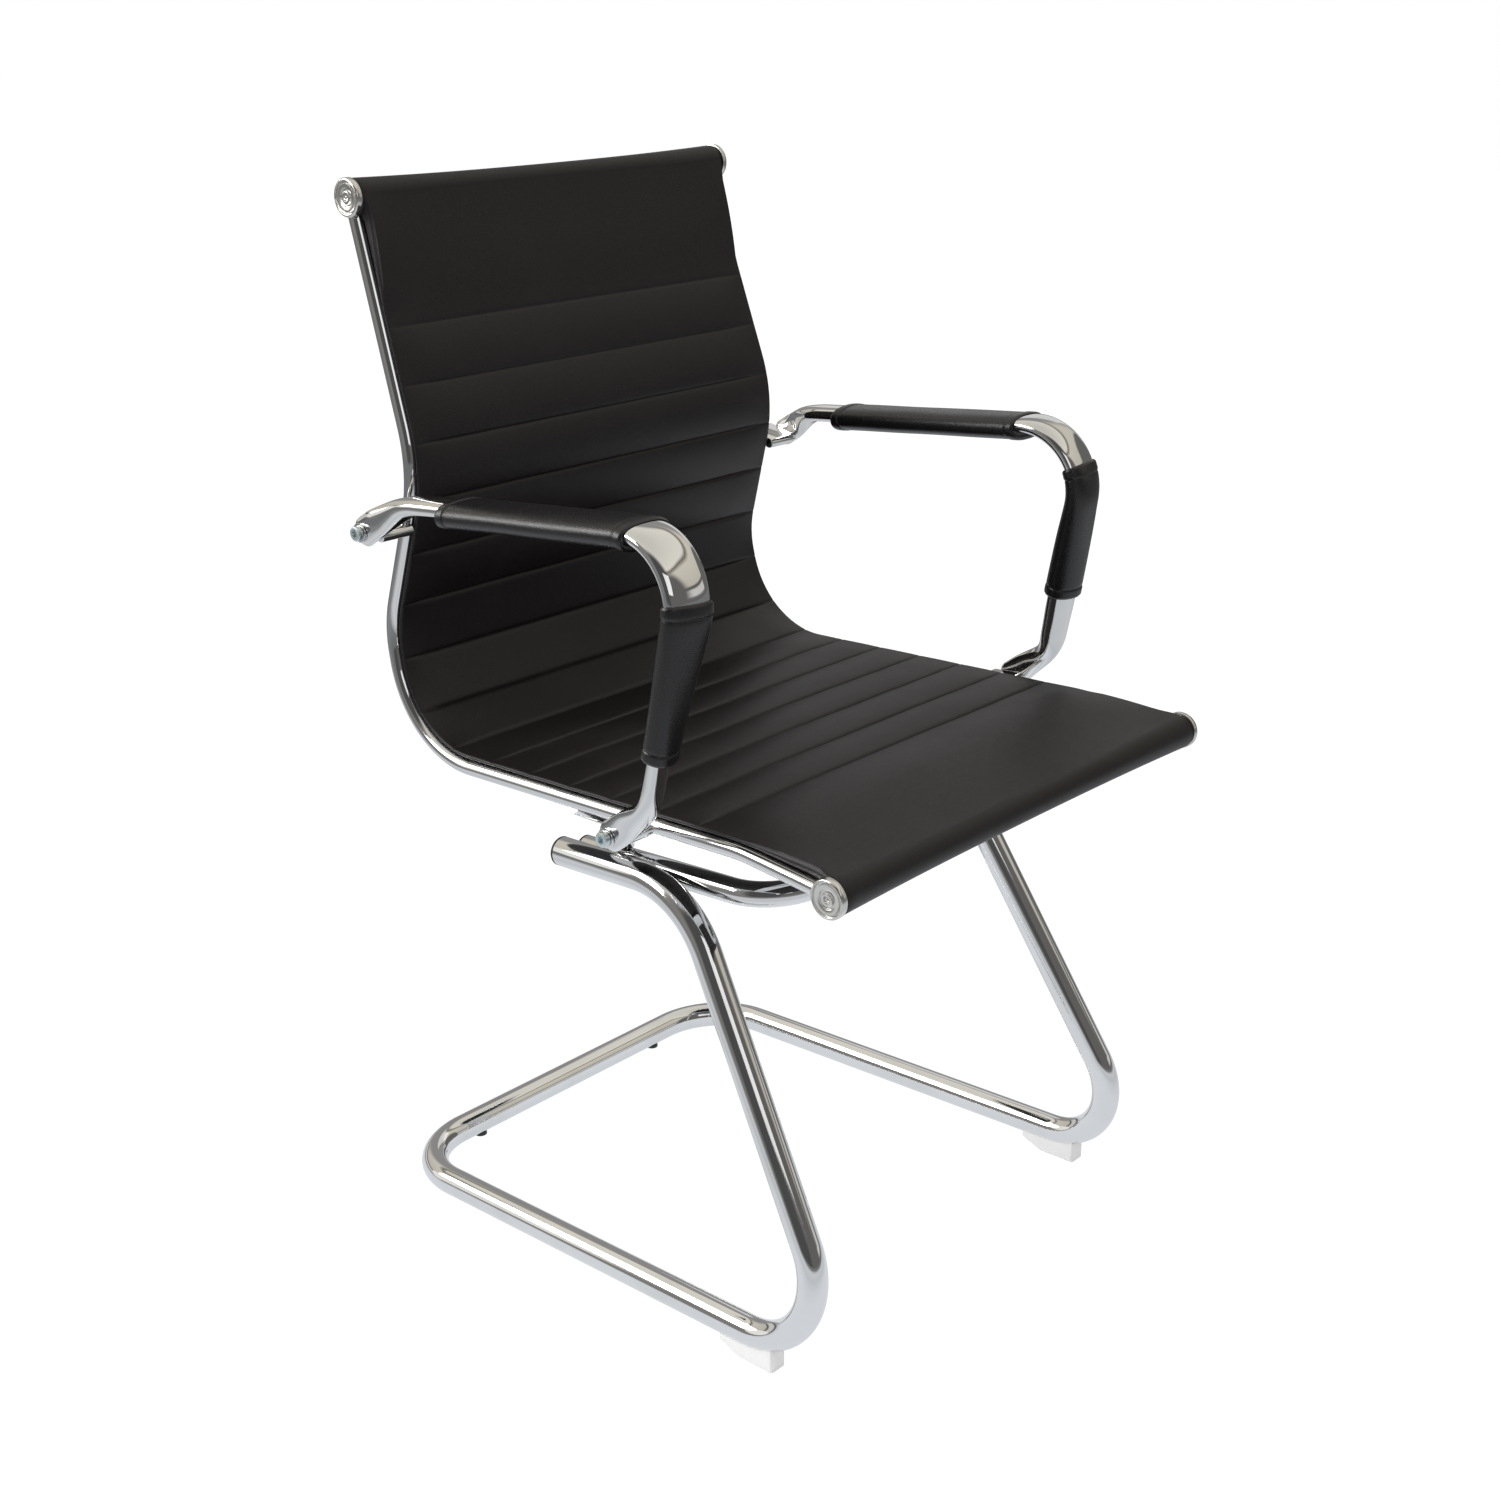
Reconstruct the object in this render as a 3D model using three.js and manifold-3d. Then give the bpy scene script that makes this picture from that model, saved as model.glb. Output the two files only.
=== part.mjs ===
// Sled base visitor chair with a ribbed sling seat.
// Millimetres, +Z up. The sitter faces -Y and has the right arm on the -X side.
// Sizes along the seat are given level with the base tube. The whole chair then leans
// back by the small angle between its tall front feet and its thin rear glides.
import * as THREE from 'three';
import { mergeVertices } from 'three/addons/utils/BufferGeometryUtils.js';
import Module from 'manifold-3d';

const wasm = await Module();
wasm.setup();

// Clearance between pieces that touch, and how far a cut runs past the face it opens.
const fitGap = 0.3;
const cutOverrun = 2;
const weldDistance = 1e-4;

// Base: one bent tube. Distances from front to back count from the point where the
// straight leg and the straight floor run would meet.
const sledTube = 25;
const sledWall = 1.5;
const floorRunHalf = 210;
const topRunHalf = 175;
const legRise = 351.8;
const legRun = 187;
const sledRear = 553;
const topRunEnd = 330;
const kneeRadius = 90;
const toeRadius = 65;
const heelRadius = 70;

// Seat support: a second tube bent to a U beside the top runs of the base.
const supportTube = 21;
const supportRearFall = 3;
const supportWall = 1.5;
const supportEnd = 326;
const supportFront = 112;
const supportRadius = 45;

// Plugs in the open tube ends
const plugHead = 2;
const plugDepth = 14;
const plugPocket = 22;
const plugDome = 1;

// Front feet and rear glides
const footHeight = 11.5;
const footWidth = 17;
const footFront = 78;
const footSole = 36;
const footLength = 56;
const footTaperRise = 9.5;
const footWrap = 4;
const glideHeight = 3;
const glideDiameter = 12;
const glideSpan = 236;

// Spreader bars under the seat, and the bushes and bolts that hold them on the support
const spreaderWidth = 30;
const spreaderThickness = 10;
const spreaderRearY = 279;
const spreaderBend = 16;
const spreaderSeatDrop = 6;
const frontBarThickness = 6;
const frontBarDrop = 4.2;
const frontMountHalf = 80;
const bushHeight = 18.5;
const bushDiameter = 16;
const mountBolt = 6;
const mountHead = 11;
const mountHeadHeight = 5;
const mountSocket = 5;
const mountSocketDepth = 3;

// Side rails: the seat line, then the low back, the lumbar bend and the upper back
const railTube = 13;
const railSeatHalf = 219.5;
const railTopHalf = 199.4;
const railRise = 43.9;
const seatRear = 461;
const seatBendRadius = 91.1;
const noseBend = 79.3;
const noseBendFall = 4.4;
const noseBendRadius = 202.6;
const noseEnd = 0;
const noseEndFall = 16;
const hipY = 478.8;
const hipHeight = 105.8;
const hipRadius = 91.6;
const lumbarY = 433.3;
const lumbarHeight = 237;
const lumbarRadius = 125.4;
const backTopY = 489.2;
const backTopHeight = 438.5;
const railEndShort = 3;

// Cross tubes in the two rolls of the sling, and their end caps
const crossTube = 22;
const crossWall = 1.5;
const topTubeY = 485.4;
const topTubeHeight = 453.3;
const frontTubeY = -11.8;
const frontTubeFall = 15.3;
const capDiameter = 31;
const capThickness = 7;
const capSpigot = 10;
const capRim = 3;
const capGroove = 1.3;
const capButton = 9;
const capButtonRecess = 1.2;
const capRound = 1;

// Sling: a sewn sheet that wraps both cross tubes and lies over the rails
const slingRollWall = 3.2;
const slingFace = 11;
const slingBack = 1;
const slingOverRail = 2.2;
const slingHem = 11;
const ribPitch = 47.1;
const ribCrown = 3.2;
const ribBackCrown = 1.4;
const crownPower = 0.6;
const seamCount = 15;
const firstSeam = 106;
const seamSink = 0.8;
const topPanelCrown = 3.4;
const frontPanelCrown = 6.5;
const rollBlendFront = 62;
const rollBlendBack = 24;

// Arms: an oval tube, wide at the front corner and pressed flat at both ends
const armUpperHeight = 196.7;
const armUpperOut = 42;
const armUpperBack = 2.5;
const armLowerY = 182;
const armLowerRise = -1.5;
const armLowerOut = 34;
const armArchY = 404;
const armArchRise = 24.9;
const armOut = 20.5;
const armCornerY = 81.5;
const armCornerRise = 37.5;
const armKneeY = 138.5;
const armKneeRise = 30;
const armArchRadius = 60;
const armCornerRadius = 51;
const armKneeRadius = 35;
const armEndPast = 9;
const armEndWidth = 25;
const armEndThickness = 9;
const armFlatLength = 17;
const armFlareLength = 24;
const armRearFlare = 42;
const armShoulderRadius = 30;
const armRearWidth = 30;
const armThickness = 15;
const armCornerWidth = 44;
const armPostTopWidth = 38;
const armPostWidth = 26.5;
const armPostTaper = 125;
const armPostThickness = 13.5;
const armCornerTurn = -8;
const armPostTurn = 18;
const armTipShare = 0.55;

// Wrapped pads on the arms
const padStartY = 358;
const padEndY = 152;
const rightPadSlip = 14;
const padWidth = 50;
const padThickness = 22;
const padDrop = 2.5;
const padHem = 9;
const padHemStep = 1.2;
const sleeveWall = 2;
const sleeveFlatWall = 5.5;
const sleeveHem = 9;
const sleeveHemStep = 0.9;
const sleeveTop = 189.5;
const sleeveLength = 122;
const leftSleeveRaise = 14.5;

// Stubs on the rails and the bolts of the arms
const stubWidth = 34;
const stubThickness = 10;
const stubInset = 3;
const upperStubTilt = 18;
const armBolt = 7.4;
const armBoltBite = 16;
const armBoltHead = 12.5;
const armBoltHeadHeight = 4.5;
const armBoltSocket = 6;
const armBoltSocketDepth = 2.8;
const armWasher = 16;
const armWasherThickness = 1.5;

// Bar behind the back, bowed to the rear
const backBarWidth = 24;
const backBarThickness = 10;
const backBarSet = 7;
const backBarBow = 20;
const backBarRamp = 60.8;
const backBarBend = 90;

// How finely round forms are cut
const tubeSides = 14;
const railSides = 10;
const ovalSides = 14;
const capSides = 18;
const boltSides = 10;
const bendStep = 12;

const degree = Math.PI / 180;

// Heights that follow from the pieces below
const floorRunZ = footHeight + sledTube / 2;
const topRunZ = floorRunZ + legRise;
const supportHalf = topRunHalf - sledTube / 2 - fitGap - supportTube / 2;
const supportSlope = supportRearFall / (supportEnd - supportFront);
const spreaderFlatHalf = supportHalf + bushDiameter / 2 + fitGap;
const armHalf = railSeatHalf + armOut;
const rearMountZ = topRunZ - supportSlope * (spreaderRearY - supportFront);
const spreaderZ = rearMountZ + supportTube / 2 + fitGap + bushHeight + fitGap + spreaderThickness / 2;
const seatZ = spreaderZ + railRise;
const topTubeZ = seatZ + topTubeHeight;
const frontTubeZ = seatZ - frontTubeFall;
const glideUnder = footHeight - glideHeight;
const leanAngle = Math.atan2(glideUnder, sledRear - footFront);

// Half distance between the rails at a height: they draw in towards the top.
function railHalfAt(z) {
  const rise = (z - seatZ) / (topTubeZ - seatZ);
  return THREE.MathUtils.lerp(railSeatHalf, railTopHalf, rise);
}

function vec(x, y, z) {
  return new THREE.Vector3(x, y, z);
}

// Stations of a line of straight runs with round bends: a point and a direction for
// each ring of a tube, two per straight run and one every few degrees in a bend.
function bentStations(corners, radii, stepDegrees) {
  const stations = [];
  const last = corners.length - 1;
  const heading = (a, b) => b.clone().sub(a).normalize();
  stations.push({ point: corners[0].clone(), tangent: heading(corners[0], corners[1]) });
  for (let i = 1; i < last; i += 1) {
    const incoming = heading(corners[i - 1], corners[i]);
    const outgoing = heading(corners[i], corners[i + 1]);
    const turn = incoming.angleTo(outgoing);
    const reach = radii[i - 1] * Math.tan(turn / 2);
    const start = corners[i].clone().addScaledVector(incoming, -reach);
    const inward = outgoing.clone().addScaledVector(incoming, -incoming.dot(outgoing)).normalize();
    const centre = start.clone().addScaledVector(inward, radii[i - 1]);
    const count = Math.max(1, Math.ceil(turn / degree / stepDegrees));
    for (let k = 0; k <= count; k += 1) {
      const angle = (turn * k) / count;
      const point = centre.clone();
      point.addScaledVector(inward, -radii[i - 1] * Math.cos(angle));
      point.addScaledVector(incoming, radii[i - 1] * Math.sin(angle));
      const tangent = incoming.clone().multiplyScalar(Math.cos(angle));
      tangent.addScaledVector(inward, Math.sin(angle));
      stations.push({ point, tangent, bend: i });
    }
  }
  stations.push({ point: corners[last].clone(), tangent: heading(corners[last - 1], corners[last]) });
  return stations;
}

// The same line as a curve that an extrusion can follow. A wide direction, where one
// is given, keeps a flat section level.
class BentRun extends THREE.Curve {
  constructor(corners, radii, wide) {
    super();
    this.stations = bentStations(corners, radii, bendStep);
    this.wide = wide;
  }

  get steps() {
    return this.stations.length - 1;
  }

  getPoint(t, target = new THREE.Vector3()) {
    return target.copy(this.stations[Math.round(t * this.steps)].point);
  }

  getPointAt(u, target) {
    return this.getPoint(u, target);
  }

  getTangentAt(u, target = new THREE.Vector3()) {
    return target.copy(this.stations[Math.round(u * this.steps)].tangent);
  }

  computeFrenetFrames(segments, closed) {
    if (!this.wide) {
      return super.computeFrenetFrames(segments, closed);
    }
    const tangents = this.stations.map((station) => station.tangent.clone());
    const binormals = tangents.map((tangent) => {
      return this.wide.clone().addScaledVector(tangent, -tangent.dot(this.wide)).normalize();
    });
    const normals = tangents.map((tangent, i) => binormals[i].clone().cross(tangent));
    return { tangents, normals, binormals };
  }
}

// Outlines of sections: round, and flat with round edges.
function roundSection(diameter, sides) {
  const points = [];
  for (let i = 0; i < sides; i += 1) {
    const angle = ((i + 0.5) * 2 * Math.PI) / sides;
    points.push(new THREE.Vector2(Math.cos(angle), Math.sin(angle)).multiplyScalar(diameter / 2));
  }
  return new THREE.Shape(points);
}

function flatSection(width, thickness) {
  const shape = new THREE.Shape();
  const centre = (width - thickness) / 2;
  shape.absarc(0, centre, thickness / 2, 0, Math.PI, false);
  shape.absarc(0, -centre, thickness / 2, Math.PI, 2 * Math.PI, false);
  shape.closePath();
  return shape;
}

function alongRun(run, section, curveSegments = 4) {
  return new THREE.ExtrudeGeometry(section, { steps: run.steps, extrudePath: run, curveSegments });
}

function straightRod(from, to, diameter, sides) {
  return alongRun(new BentRun([from, to], []), roundSection(diameter, sides));
}

// Signed volume, to turn a body's faces outwards.
function signedVolume(geometry) {
  const position = geometry.getAttribute('position');
  const index = geometry.getIndex();
  const a = new THREE.Vector3();
  const b = new THREE.Vector3();
  const c = new THREE.Vector3();
  let sum = 0;
  for (let i = 0; i < index.count; i += 3) {
    a.fromBufferAttribute(position, index.getX(i));
    b.fromBufferAttribute(position, index.getX(i + 1));
    c.fromBufferAttribute(position, index.getX(i + 2));
    sum += a.dot(b.cross(c));
  }
  return sum / 6;
}

// Bare, welded and outward facing copy of a geometry.
function closedBody(geometry) {
  const bare = new THREE.BufferGeometry();
  bare.setAttribute('position', geometry.getAttribute('position').clone());
  if (geometry.getIndex()) {
    bare.setIndex(geometry.getIndex().clone());
  }
  const body = mergeVertices(bare, weldDistance);
  const kept = [];
  const index = body.getIndex();
  for (let i = 0; i < index.count; i += 3) {
    const face = [index.getX(i), index.getX(i + 1), index.getX(i + 2)];
    if (face[0] !== face[1] && face[1] !== face[2] && face[2] !== face[0]) {
      kept.push(face);
    }
  }
  body.setIndex(kept.flat());
  if (signedVolume(body) < 0) {
    body.setIndex(kept.map((face) => [face[0], face[2], face[1]]).flat());
  }
  return body;
}

function solidOf(geometry) {
  const body = closedBody(geometry);
  const vertProperties = new Float32Array(body.getAttribute('position').array);
  const triVerts = new Uint32Array(body.getIndex().array);
  return new wasm.Manifold(new wasm.Mesh({ numProp: 3, vertProperties, triVerts }));
}

function geometryOf(solid) {
  const mesh = solid.getMesh();
  const geometry = new THREE.BufferGeometry();
  geometry.setAttribute('position', new THREE.BufferAttribute(mesh.vertProperties.slice(), 3));
  geometry.setIndex(new THREE.BufferAttribute(mesh.triVerts.slice(), 1));
  return geometry;
}

function cutBy(geometry, tools) {
  let solid = solidOf(geometry);
  for (const tool of tools) {
    solid = solid.subtract(solidOf(tool));
  }
  return geometryOf(solid);
}

function mirrored(geometry) {
  return closedBody(geometry.clone().scale(-1, 1, 1));
}

// A body through rings of points, each ring with the same count, ends closed flat.
function loftBody(rings) {
  const sides = rings[0].length;
  const positions = [];
  const faces = [];
  for (const ring of rings) {
    for (const point of ring) {
      positions.push(point.x, point.y, point.z);
    }
  }
  for (let i = 0; i + 1 < rings.length; i += 1) {
    for (let k = 0; k < sides; k += 1) {
      const a = i * sides + k;
      const b = i * sides + ((k + 1) % sides);
      faces.push(a, b, b + sides, a, b + sides, a + sides);
    }
  }
  for (const [ring, turned] of [[0, true], [rings.length - 1, false]]) {
    const base = ring * sides;
    const centre = new THREE.Vector3();
    rings[ring].forEach((point) => centre.addScaledVector(point, 1 / sides));
    const hub = positions.length / 3;
    positions.push(centre.x, centre.y, centre.z);
    for (let k = 0; k < sides; k += 1) {
      const a = base + k;
      const b = base + ((k + 1) % sides);
      faces.push(...(turned ? [hub, b, a] : [hub, a, b]));
    }
  }
  const geometry = new THREE.BufferGeometry();
  geometry.setAttribute('position', new THREE.Float32BufferAttribute(positions, 3));
  geometry.setIndex(faces);
  return closedBody(geometry);
}

// A sleeve between outer and inner rings, open at both ends.
function loftSleeve(outer, inner) {
  const sides = outer[0].length;
  const count = outer.length;
  const positions = [];
  for (const ring of [...outer, ...inner]) {
    for (const point of ring) {
      positions.push(point.x, point.y, point.z);
    }
  }
  const at = (layer, ring, side) => (layer * count + ring) * sides + (side % sides);
  const faces = [];
  for (let i = 0; i + 1 < count; i += 1) {
    for (let k = 0; k < sides; k += 1) {
      faces.push(at(0, i, k), at(0, i, k + 1), at(0, i + 1, k + 1));
      faces.push(at(0, i, k), at(0, i + 1, k + 1), at(0, i + 1, k));
      faces.push(at(1, i, k), at(1, i + 1, k + 1), at(1, i, k + 1));
      faces.push(at(1, i, k), at(1, i + 1, k), at(1, i + 1, k + 1));
    }
  }
  const end = count - 1;
  for (let k = 0; k < sides; k += 1) {
    faces.push(at(0, 0, k), at(1, 0, k + 1), at(0, 0, k + 1));
    faces.push(at(0, 0, k), at(1, 0, k), at(1, 0, k + 1));
    faces.push(at(0, end, k), at(0, end, k + 1), at(1, end, k + 1));
    faces.push(at(0, end, k), at(1, end, k + 1), at(1, end, k));
  }
  const geometry = new THREE.BufferGeometry();
  geometry.setAttribute('position', new THREE.Float32BufferAttribute(positions, 3));
  geometry.setIndex(faces);
  return closedBody(geometry);
}

// A turned piece: the profile gives a distance from the axis and a place along it.
function turnedPiece(profile, sides) {
  const points = profile.map(([radius, along]) => new THREE.Vector2(radius, along));
  return closedBody(new THREE.LatheGeometry(points, sides));
}

// Stands a turned piece on a point with its own axis along a direction.
function standAlong(geometry, direction, point) {
  const turn = new THREE.Quaternion().setFromUnitVectors(vec(0, 1, 0), direction.clone().normalize());
  return geometry.clone().applyQuaternion(turn).translate(point.x, point.y, point.z);
}

function hexagonBar(acrossFlats, from, to) {
  const radius = acrossFlats / 2 / Math.cos(Math.PI / 6);
  return straightRod(from, to, radius * 2, 6);
}

// Chair and its pieces
const group = new THREE.Group();
const chair = new THREE.Group();
group.add(chair);

const finishes = {
  chrome: { color: 0xd9dcde, roughness: 0.08, metalness: 1 },
  leatherette: { color: 0x1c1b1c, roughness: 0.5, metalness: 0 },
  foot: { color: 0xeeeef0, roughness: 0.45, metalness: 0 },
  plug: { color: 0x202022, roughness: 0.55, metalness: 0 },
  bolt: { color: 0xaab8bd, roughness: 0.3, metalness: 1 },
};

function addPiece(name, geometry, finish) {
  const mesh = new THREE.Mesh(geometry, new THREE.MeshStandardMaterial(finishes[finish]));
  mesh.name = name;
  mesh.geometry.computeVertexNormals();
  chair.add(mesh);
  return mesh;
}

// Base tube: top run, leg, floor run, rear run, and the same back on the other side.
const sledHalfCorners = [
  vec(topRunHalf, topRunEnd, topRunZ),
  vec(topRunHalf, legRun, topRunZ),
  vec(floorRunHalf, 0, floorRunZ),
  vec(floorRunHalf, sledRear, floorRunZ),
];
const acrossChair = (point) => vec(-point.x, point.y, point.z);
const sledCorners = [...sledHalfCorners, ...sledHalfCorners.map(acrossChair).reverse()];
const sledRadii = [kneeRadius, toeRadius, heelRadius, heelRadius, toeRadius, kneeRadius];
const sledRun = new BentRun(sledCorners, sledRadii);
const sledGrown = alongRun(sledRun, roundSection(sledTube + 2 * fitGap, tubeSides));

function plugPocketTool(x, y, z, diameter) {
  const mouth = vec(x, y + cutOverrun, z);
  const floor = vec(x, y - plugPocket, z);
  return straightRod(floor, mouth, diameter, tubeSides);
}

function tubePlug(tube, wall) {
  const spigot = tube / 2 - wall - fitGap;
  const rim = tube / 2 - plugDome;
  return turnedPiece([
    [0, -plugDepth],
    [spigot - plugDome, -plugDepth],
    [spigot, -plugDepth + plugDome],
    [spigot, fitGap],
    [tube / 2, fitGap],
    [tube / 2, fitGap + plugHead - plugDome],
    [rim, fitGap + plugHead],
    [0, fitGap + plugHead + plugDome],
  ], tubeSides);
}

const sledBore = sledTube - 2 * sledWall;
const sledPockets = [-1, 1].map((sign) => plugPocketTool(sign * topRunHalf, topRunEnd, topRunZ, sledBore));
addPiece('sled_base_tube', cutBy(alongRun(sledRun, roundSection(sledTube, tubeSides)), sledPockets), 'chrome');

// Support tube, drilled through for its four bolts: the rear ones in its arms, the
// front ones in its cross run
const supportHalfCorners = [
  vec(supportHalf, supportEnd, topRunZ - supportRearFall),
  vec(supportHalf, supportFront, topRunZ),
];
const supportCorners = [...supportHalfCorners, ...supportHalfCorners.map(acrossChair).reverse()];
const supportRun = new BentRun(supportCorners, [supportRadius, supportRadius]);
const supportBore = supportTube - 2 * supportWall;
const frontBarZ = seatRailZ(supportFront) - frontBarDrop;
const mounts = [];
for (const [side, sign] of [['right', -1], ['left', 1]]) {
  mounts.push({
    name: `rear_${side}`, x: sign * supportHalf, y: spreaderRearY, z: rearMountZ,
    barZ: spreaderZ, bar: spreaderThickness,
  }, {
    name: `front_${side}`, x: sign * frontMountHalf, y: supportFront, z: topRunZ,
    barZ: frontBarZ, bar: frontBarThickness,
  });
}
const mountHoles = mounts.map((mount) => {
  const low = vec(mount.x, mount.y, mount.z - supportTube);
  const high = vec(mount.x, mount.y, mount.barZ + mount.bar);
  return straightRod(low, high, mountBolt + 2 * fitGap, boltSides);
});
const supportPockets = [-1, 1].map((sign) => {
  return plugPocketTool(sign * supportHalf, supportEnd, topRunZ - supportRearFall, supportBore);
});
const supportBody = alongRun(supportRun, roundSection(supportTube, tubeSides));
addPiece('seat_support_tube', cutBy(supportBody, [...supportPockets, ...mountHoles]), 'chrome');

// Plugs in the four open ends
for (const [side, sign] of [['right', -1], ['left', 1]]) {
  const sledPlug = tubePlug(sledTube, sledWall);
  const supportPlug = tubePlug(supportTube, supportWall);
  const backwards = vec(0, 1, 0);
  const sledMouth = vec(sign * topRunHalf, topRunEnd, topRunZ);
  const supportMouth = vec(sign * supportHalf, supportEnd, topRunZ - supportRearFall);
  addPiece(`sled_end_plug_${side}`, standAlong(sledPlug, backwards, sledMouth), 'plug');
  addPiece(`support_end_plug_${side}`, standAlong(supportPlug, backwards, supportMouth), 'plug');
}

// Side rails in a plane that leans inwards towards the top
function railPoint(y, z) {
  return vec(railHalfAt(z), y, z);
}
const profileCorners = [
  railPoint(backTopY, seatZ + backTopHeight),
  railPoint(lumbarY, seatZ + lumbarHeight),
  railPoint(hipY, seatZ + hipHeight),
  railPoint(seatRear, seatZ),
  railPoint(noseBend, seatZ - noseBendFall),
  railPoint(noseEnd, seatZ - noseEndFall),
];
const railRadii = [lumbarRadius, hipRadius, seatBendRadius, noseBendRadius];
const fineStep = 2;
const railLine = bentStations(profileCorners, railRadii, fineStep);

// Height of the rail over a place along the seat
function seatRailZ(y) {
  const share = (seatRear - y) / (seatRear - noseBend);
  return seatZ - noseBendFall * share;
}

// Place and direction of the rail behind the back at a height. Its line runs down.
function railStationAt(z) {
  const next = railLine.findIndex((station) => station.point.z <= z);
  const above = railLine[next - 1];
  const below = railLine[next];
  const share = (above.point.z - z) / (above.point.z - below.point.z);
  return {
    point: above.point.clone().lerp(below.point, share),
    tangent: above.tangent.clone().lerp(below.tangent, share).normalize(),
  };
}

// Cross tubes from rail to rail, the caps on their ends, and the cutters for both
const crossTubes = [
  { name: 'top', y: topTubeY, z: topTubeZ },
  { name: 'front', y: frontTubeY, z: frontTubeZ },
];
for (const tube of crossTubes) {
  tube.half = railHalfAt(tube.z) + railTube / 2 + fitGap;
}

// The profile carried on or cut back so that it ends a given way short of being level
// with the cross tubes
function profileShortBy(short) {
  const corners = profileCorners.map((corner) => corner.clone());
  const last = corners.length - 1;
  for (const [end, inner, tube] of [[0, 1, crossTubes[0]], [last, last - 1, crossTubes[1]]]) {
    const outward = corners[end].clone().sub(corners[inner]).normalize();
    const reach = vec(corners[end].x, tube.y, tube.z).sub(corners[end]).dot(outward);
    corners[end].addScaledVector(outward, reach - short);
  }
  return corners;
}
const railRun = new BentRun(profileShortBy(railEndShort), railRadii);
const railGrownRun = new BentRun(profileShortBy(railEndShort - fitGap), railRadii);

function crossRod(tube, diameter, past = 0) {
  const half = tube.half + past;
  return straightRod(vec(-half, tube.y, tube.z), vec(half, tube.y, tube.z), diameter, capSides);
}

const capRadius = capDiameter / 2;
const capSpigotRadius = crossTube / 2 - crossWall - fitGap;
const capPlate = capRadius - capRim - capGroove;
const capHub = capButton / 2;
const capProfile = [
  [0, -capSpigot],
  [capSpigotRadius, -capSpigot],
  [capSpigotRadius, fitGap],
  [capRadius, fitGap],
  [capRadius, capThickness - capRound],
  [capRadius - capRound, capThickness],
  [capRadius - capRim, capThickness],
  [capRadius - capRim, capThickness - capButtonRecess],
  [capPlate, capThickness - capButtonRecess],
  [capPlate, capThickness],
  [capHub + capGroove, capThickness],
  [capHub + capGroove, capThickness - capButtonRecess],
  [capHub, capThickness - capButtonRecess],
  [capHub, capThickness],
  [0, capThickness],
];

for (const tube of crossTubes) {
  const bore = crossRod(tube, crossTube - 2 * crossWall, cutOverrun);
  addPiece(`${tube.name}_cross_tube`, cutBy(crossRod(tube, crossTube), [bore]), 'chrome');
  for (const [side, sign] of [['right', -1], ['left', 1]]) {
    const cap = turnedPiece(capProfile, capSides);
    const place = vec(sign * tube.half, tube.y, tube.z);
    addPiece(`${tube.name}_cap_${side}`, standAlong(cap, vec(sign, 0, 0), place), 'chrome');
  }
}

const crossGrown = crossTubes.map((tube) => crossRod(tube, crossTube + 2 * fitGap, cutOverrun));
const railGrown = alongRun(railGrownRun, roundSection(railTube + 2 * fitGap, railSides));
const railBody = cutBy(alongRun(railRun, roundSection(railTube, railSides)), crossGrown);
addPiece('side_rail_left', railBody, 'chrome');
addPiece('side_rail_right', mirrored(railBody), 'chrome');

// Seat bars: the rear one dips from the rails to the arms of the support, the front
// one runs straight across under the rails.
function barBetweenRails(corners, radii, thickness) {
  const run = new BentRun(corners, radii, vec(0, 1, 0));
  const bar = alongRun(run, flatSection(spreaderWidth, thickness));
  return cutBy(bar, [railGrown, mirrored(railGrown), ...mountHoles]);
}
const rearRailZ = seatRailZ(spreaderRearY);
const rearBarCorners = [
  vec(-railHalfAt(rearRailZ), spreaderRearY, rearRailZ - spreaderSeatDrop),
  vec(-spreaderFlatHalf, spreaderRearY, spreaderZ),
  vec(spreaderFlatHalf, spreaderRearY, spreaderZ),
  vec(railHalfAt(rearRailZ), spreaderRearY, rearRailZ - spreaderSeatDrop),
];
const frontBarHalf = railHalfAt(seatRailZ(supportFront));
const frontBarCorners = [
  vec(-frontBarHalf, supportFront, frontBarZ),
  vec(frontBarHalf, supportFront, frontBarZ),
];
const rearBar = barBetweenRails(rearBarCorners, [spreaderBend, spreaderBend], spreaderThickness);
addPiece('rear_spreader', rearBar, 'chrome');
addPiece('front_spreader', barBetweenRails(frontBarCorners, [], frontBarThickness), 'chrome');

// Bushes between support and seat bars, and the bolts through them from below
function mountingBush(mount) {
  const hole = mountBolt / 2 + fitGap;
  const foot = vec(mount.x, mount.y, mount.z + supportTube / 2 + fitGap);
  const height = mount.barZ - mount.bar / 2 - fitGap - foot.z;
  const bush = turnedPiece([
    [hole, 0],
    [bushDiameter / 2, 0],
    [bushDiameter / 2, height],
    [hole, height],
    [hole, 0],
  ], boltSides);
  return standAlong(bush, vec(0, 0, 1), foot);
}

function mountingBolt(mount) {
  const headTop = mount.z - supportTube / 2 - fitGap;
  const headLow = headTop - mountHeadHeight;
  const shankTop = mount.barZ + mount.bar / 2;
  const at = (z) => vec(mount.x, mount.y, z);
  const shaft = straightRod(at(headLow), at(shankTop), mountBolt, boltSides);
  const head = straightRod(at(headLow), at(headTop), mountHead, boltSides);
  const socket = hexagonBar(mountSocket, at(headLow - cutOverrun), at(headLow + mountSocketDepth));
  return geometryOf(solidOf(head).add(solidOf(shaft)).subtract(solidOf(socket)));
}

for (const mount of mounts) {
  addPiece(`mounting_bush_${mount.name}`, mountingBush(mount), 'chrome');
  addPiece(`mounting_bolt_${mount.name}`, mountingBolt(mount), 'bolt');
}

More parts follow.
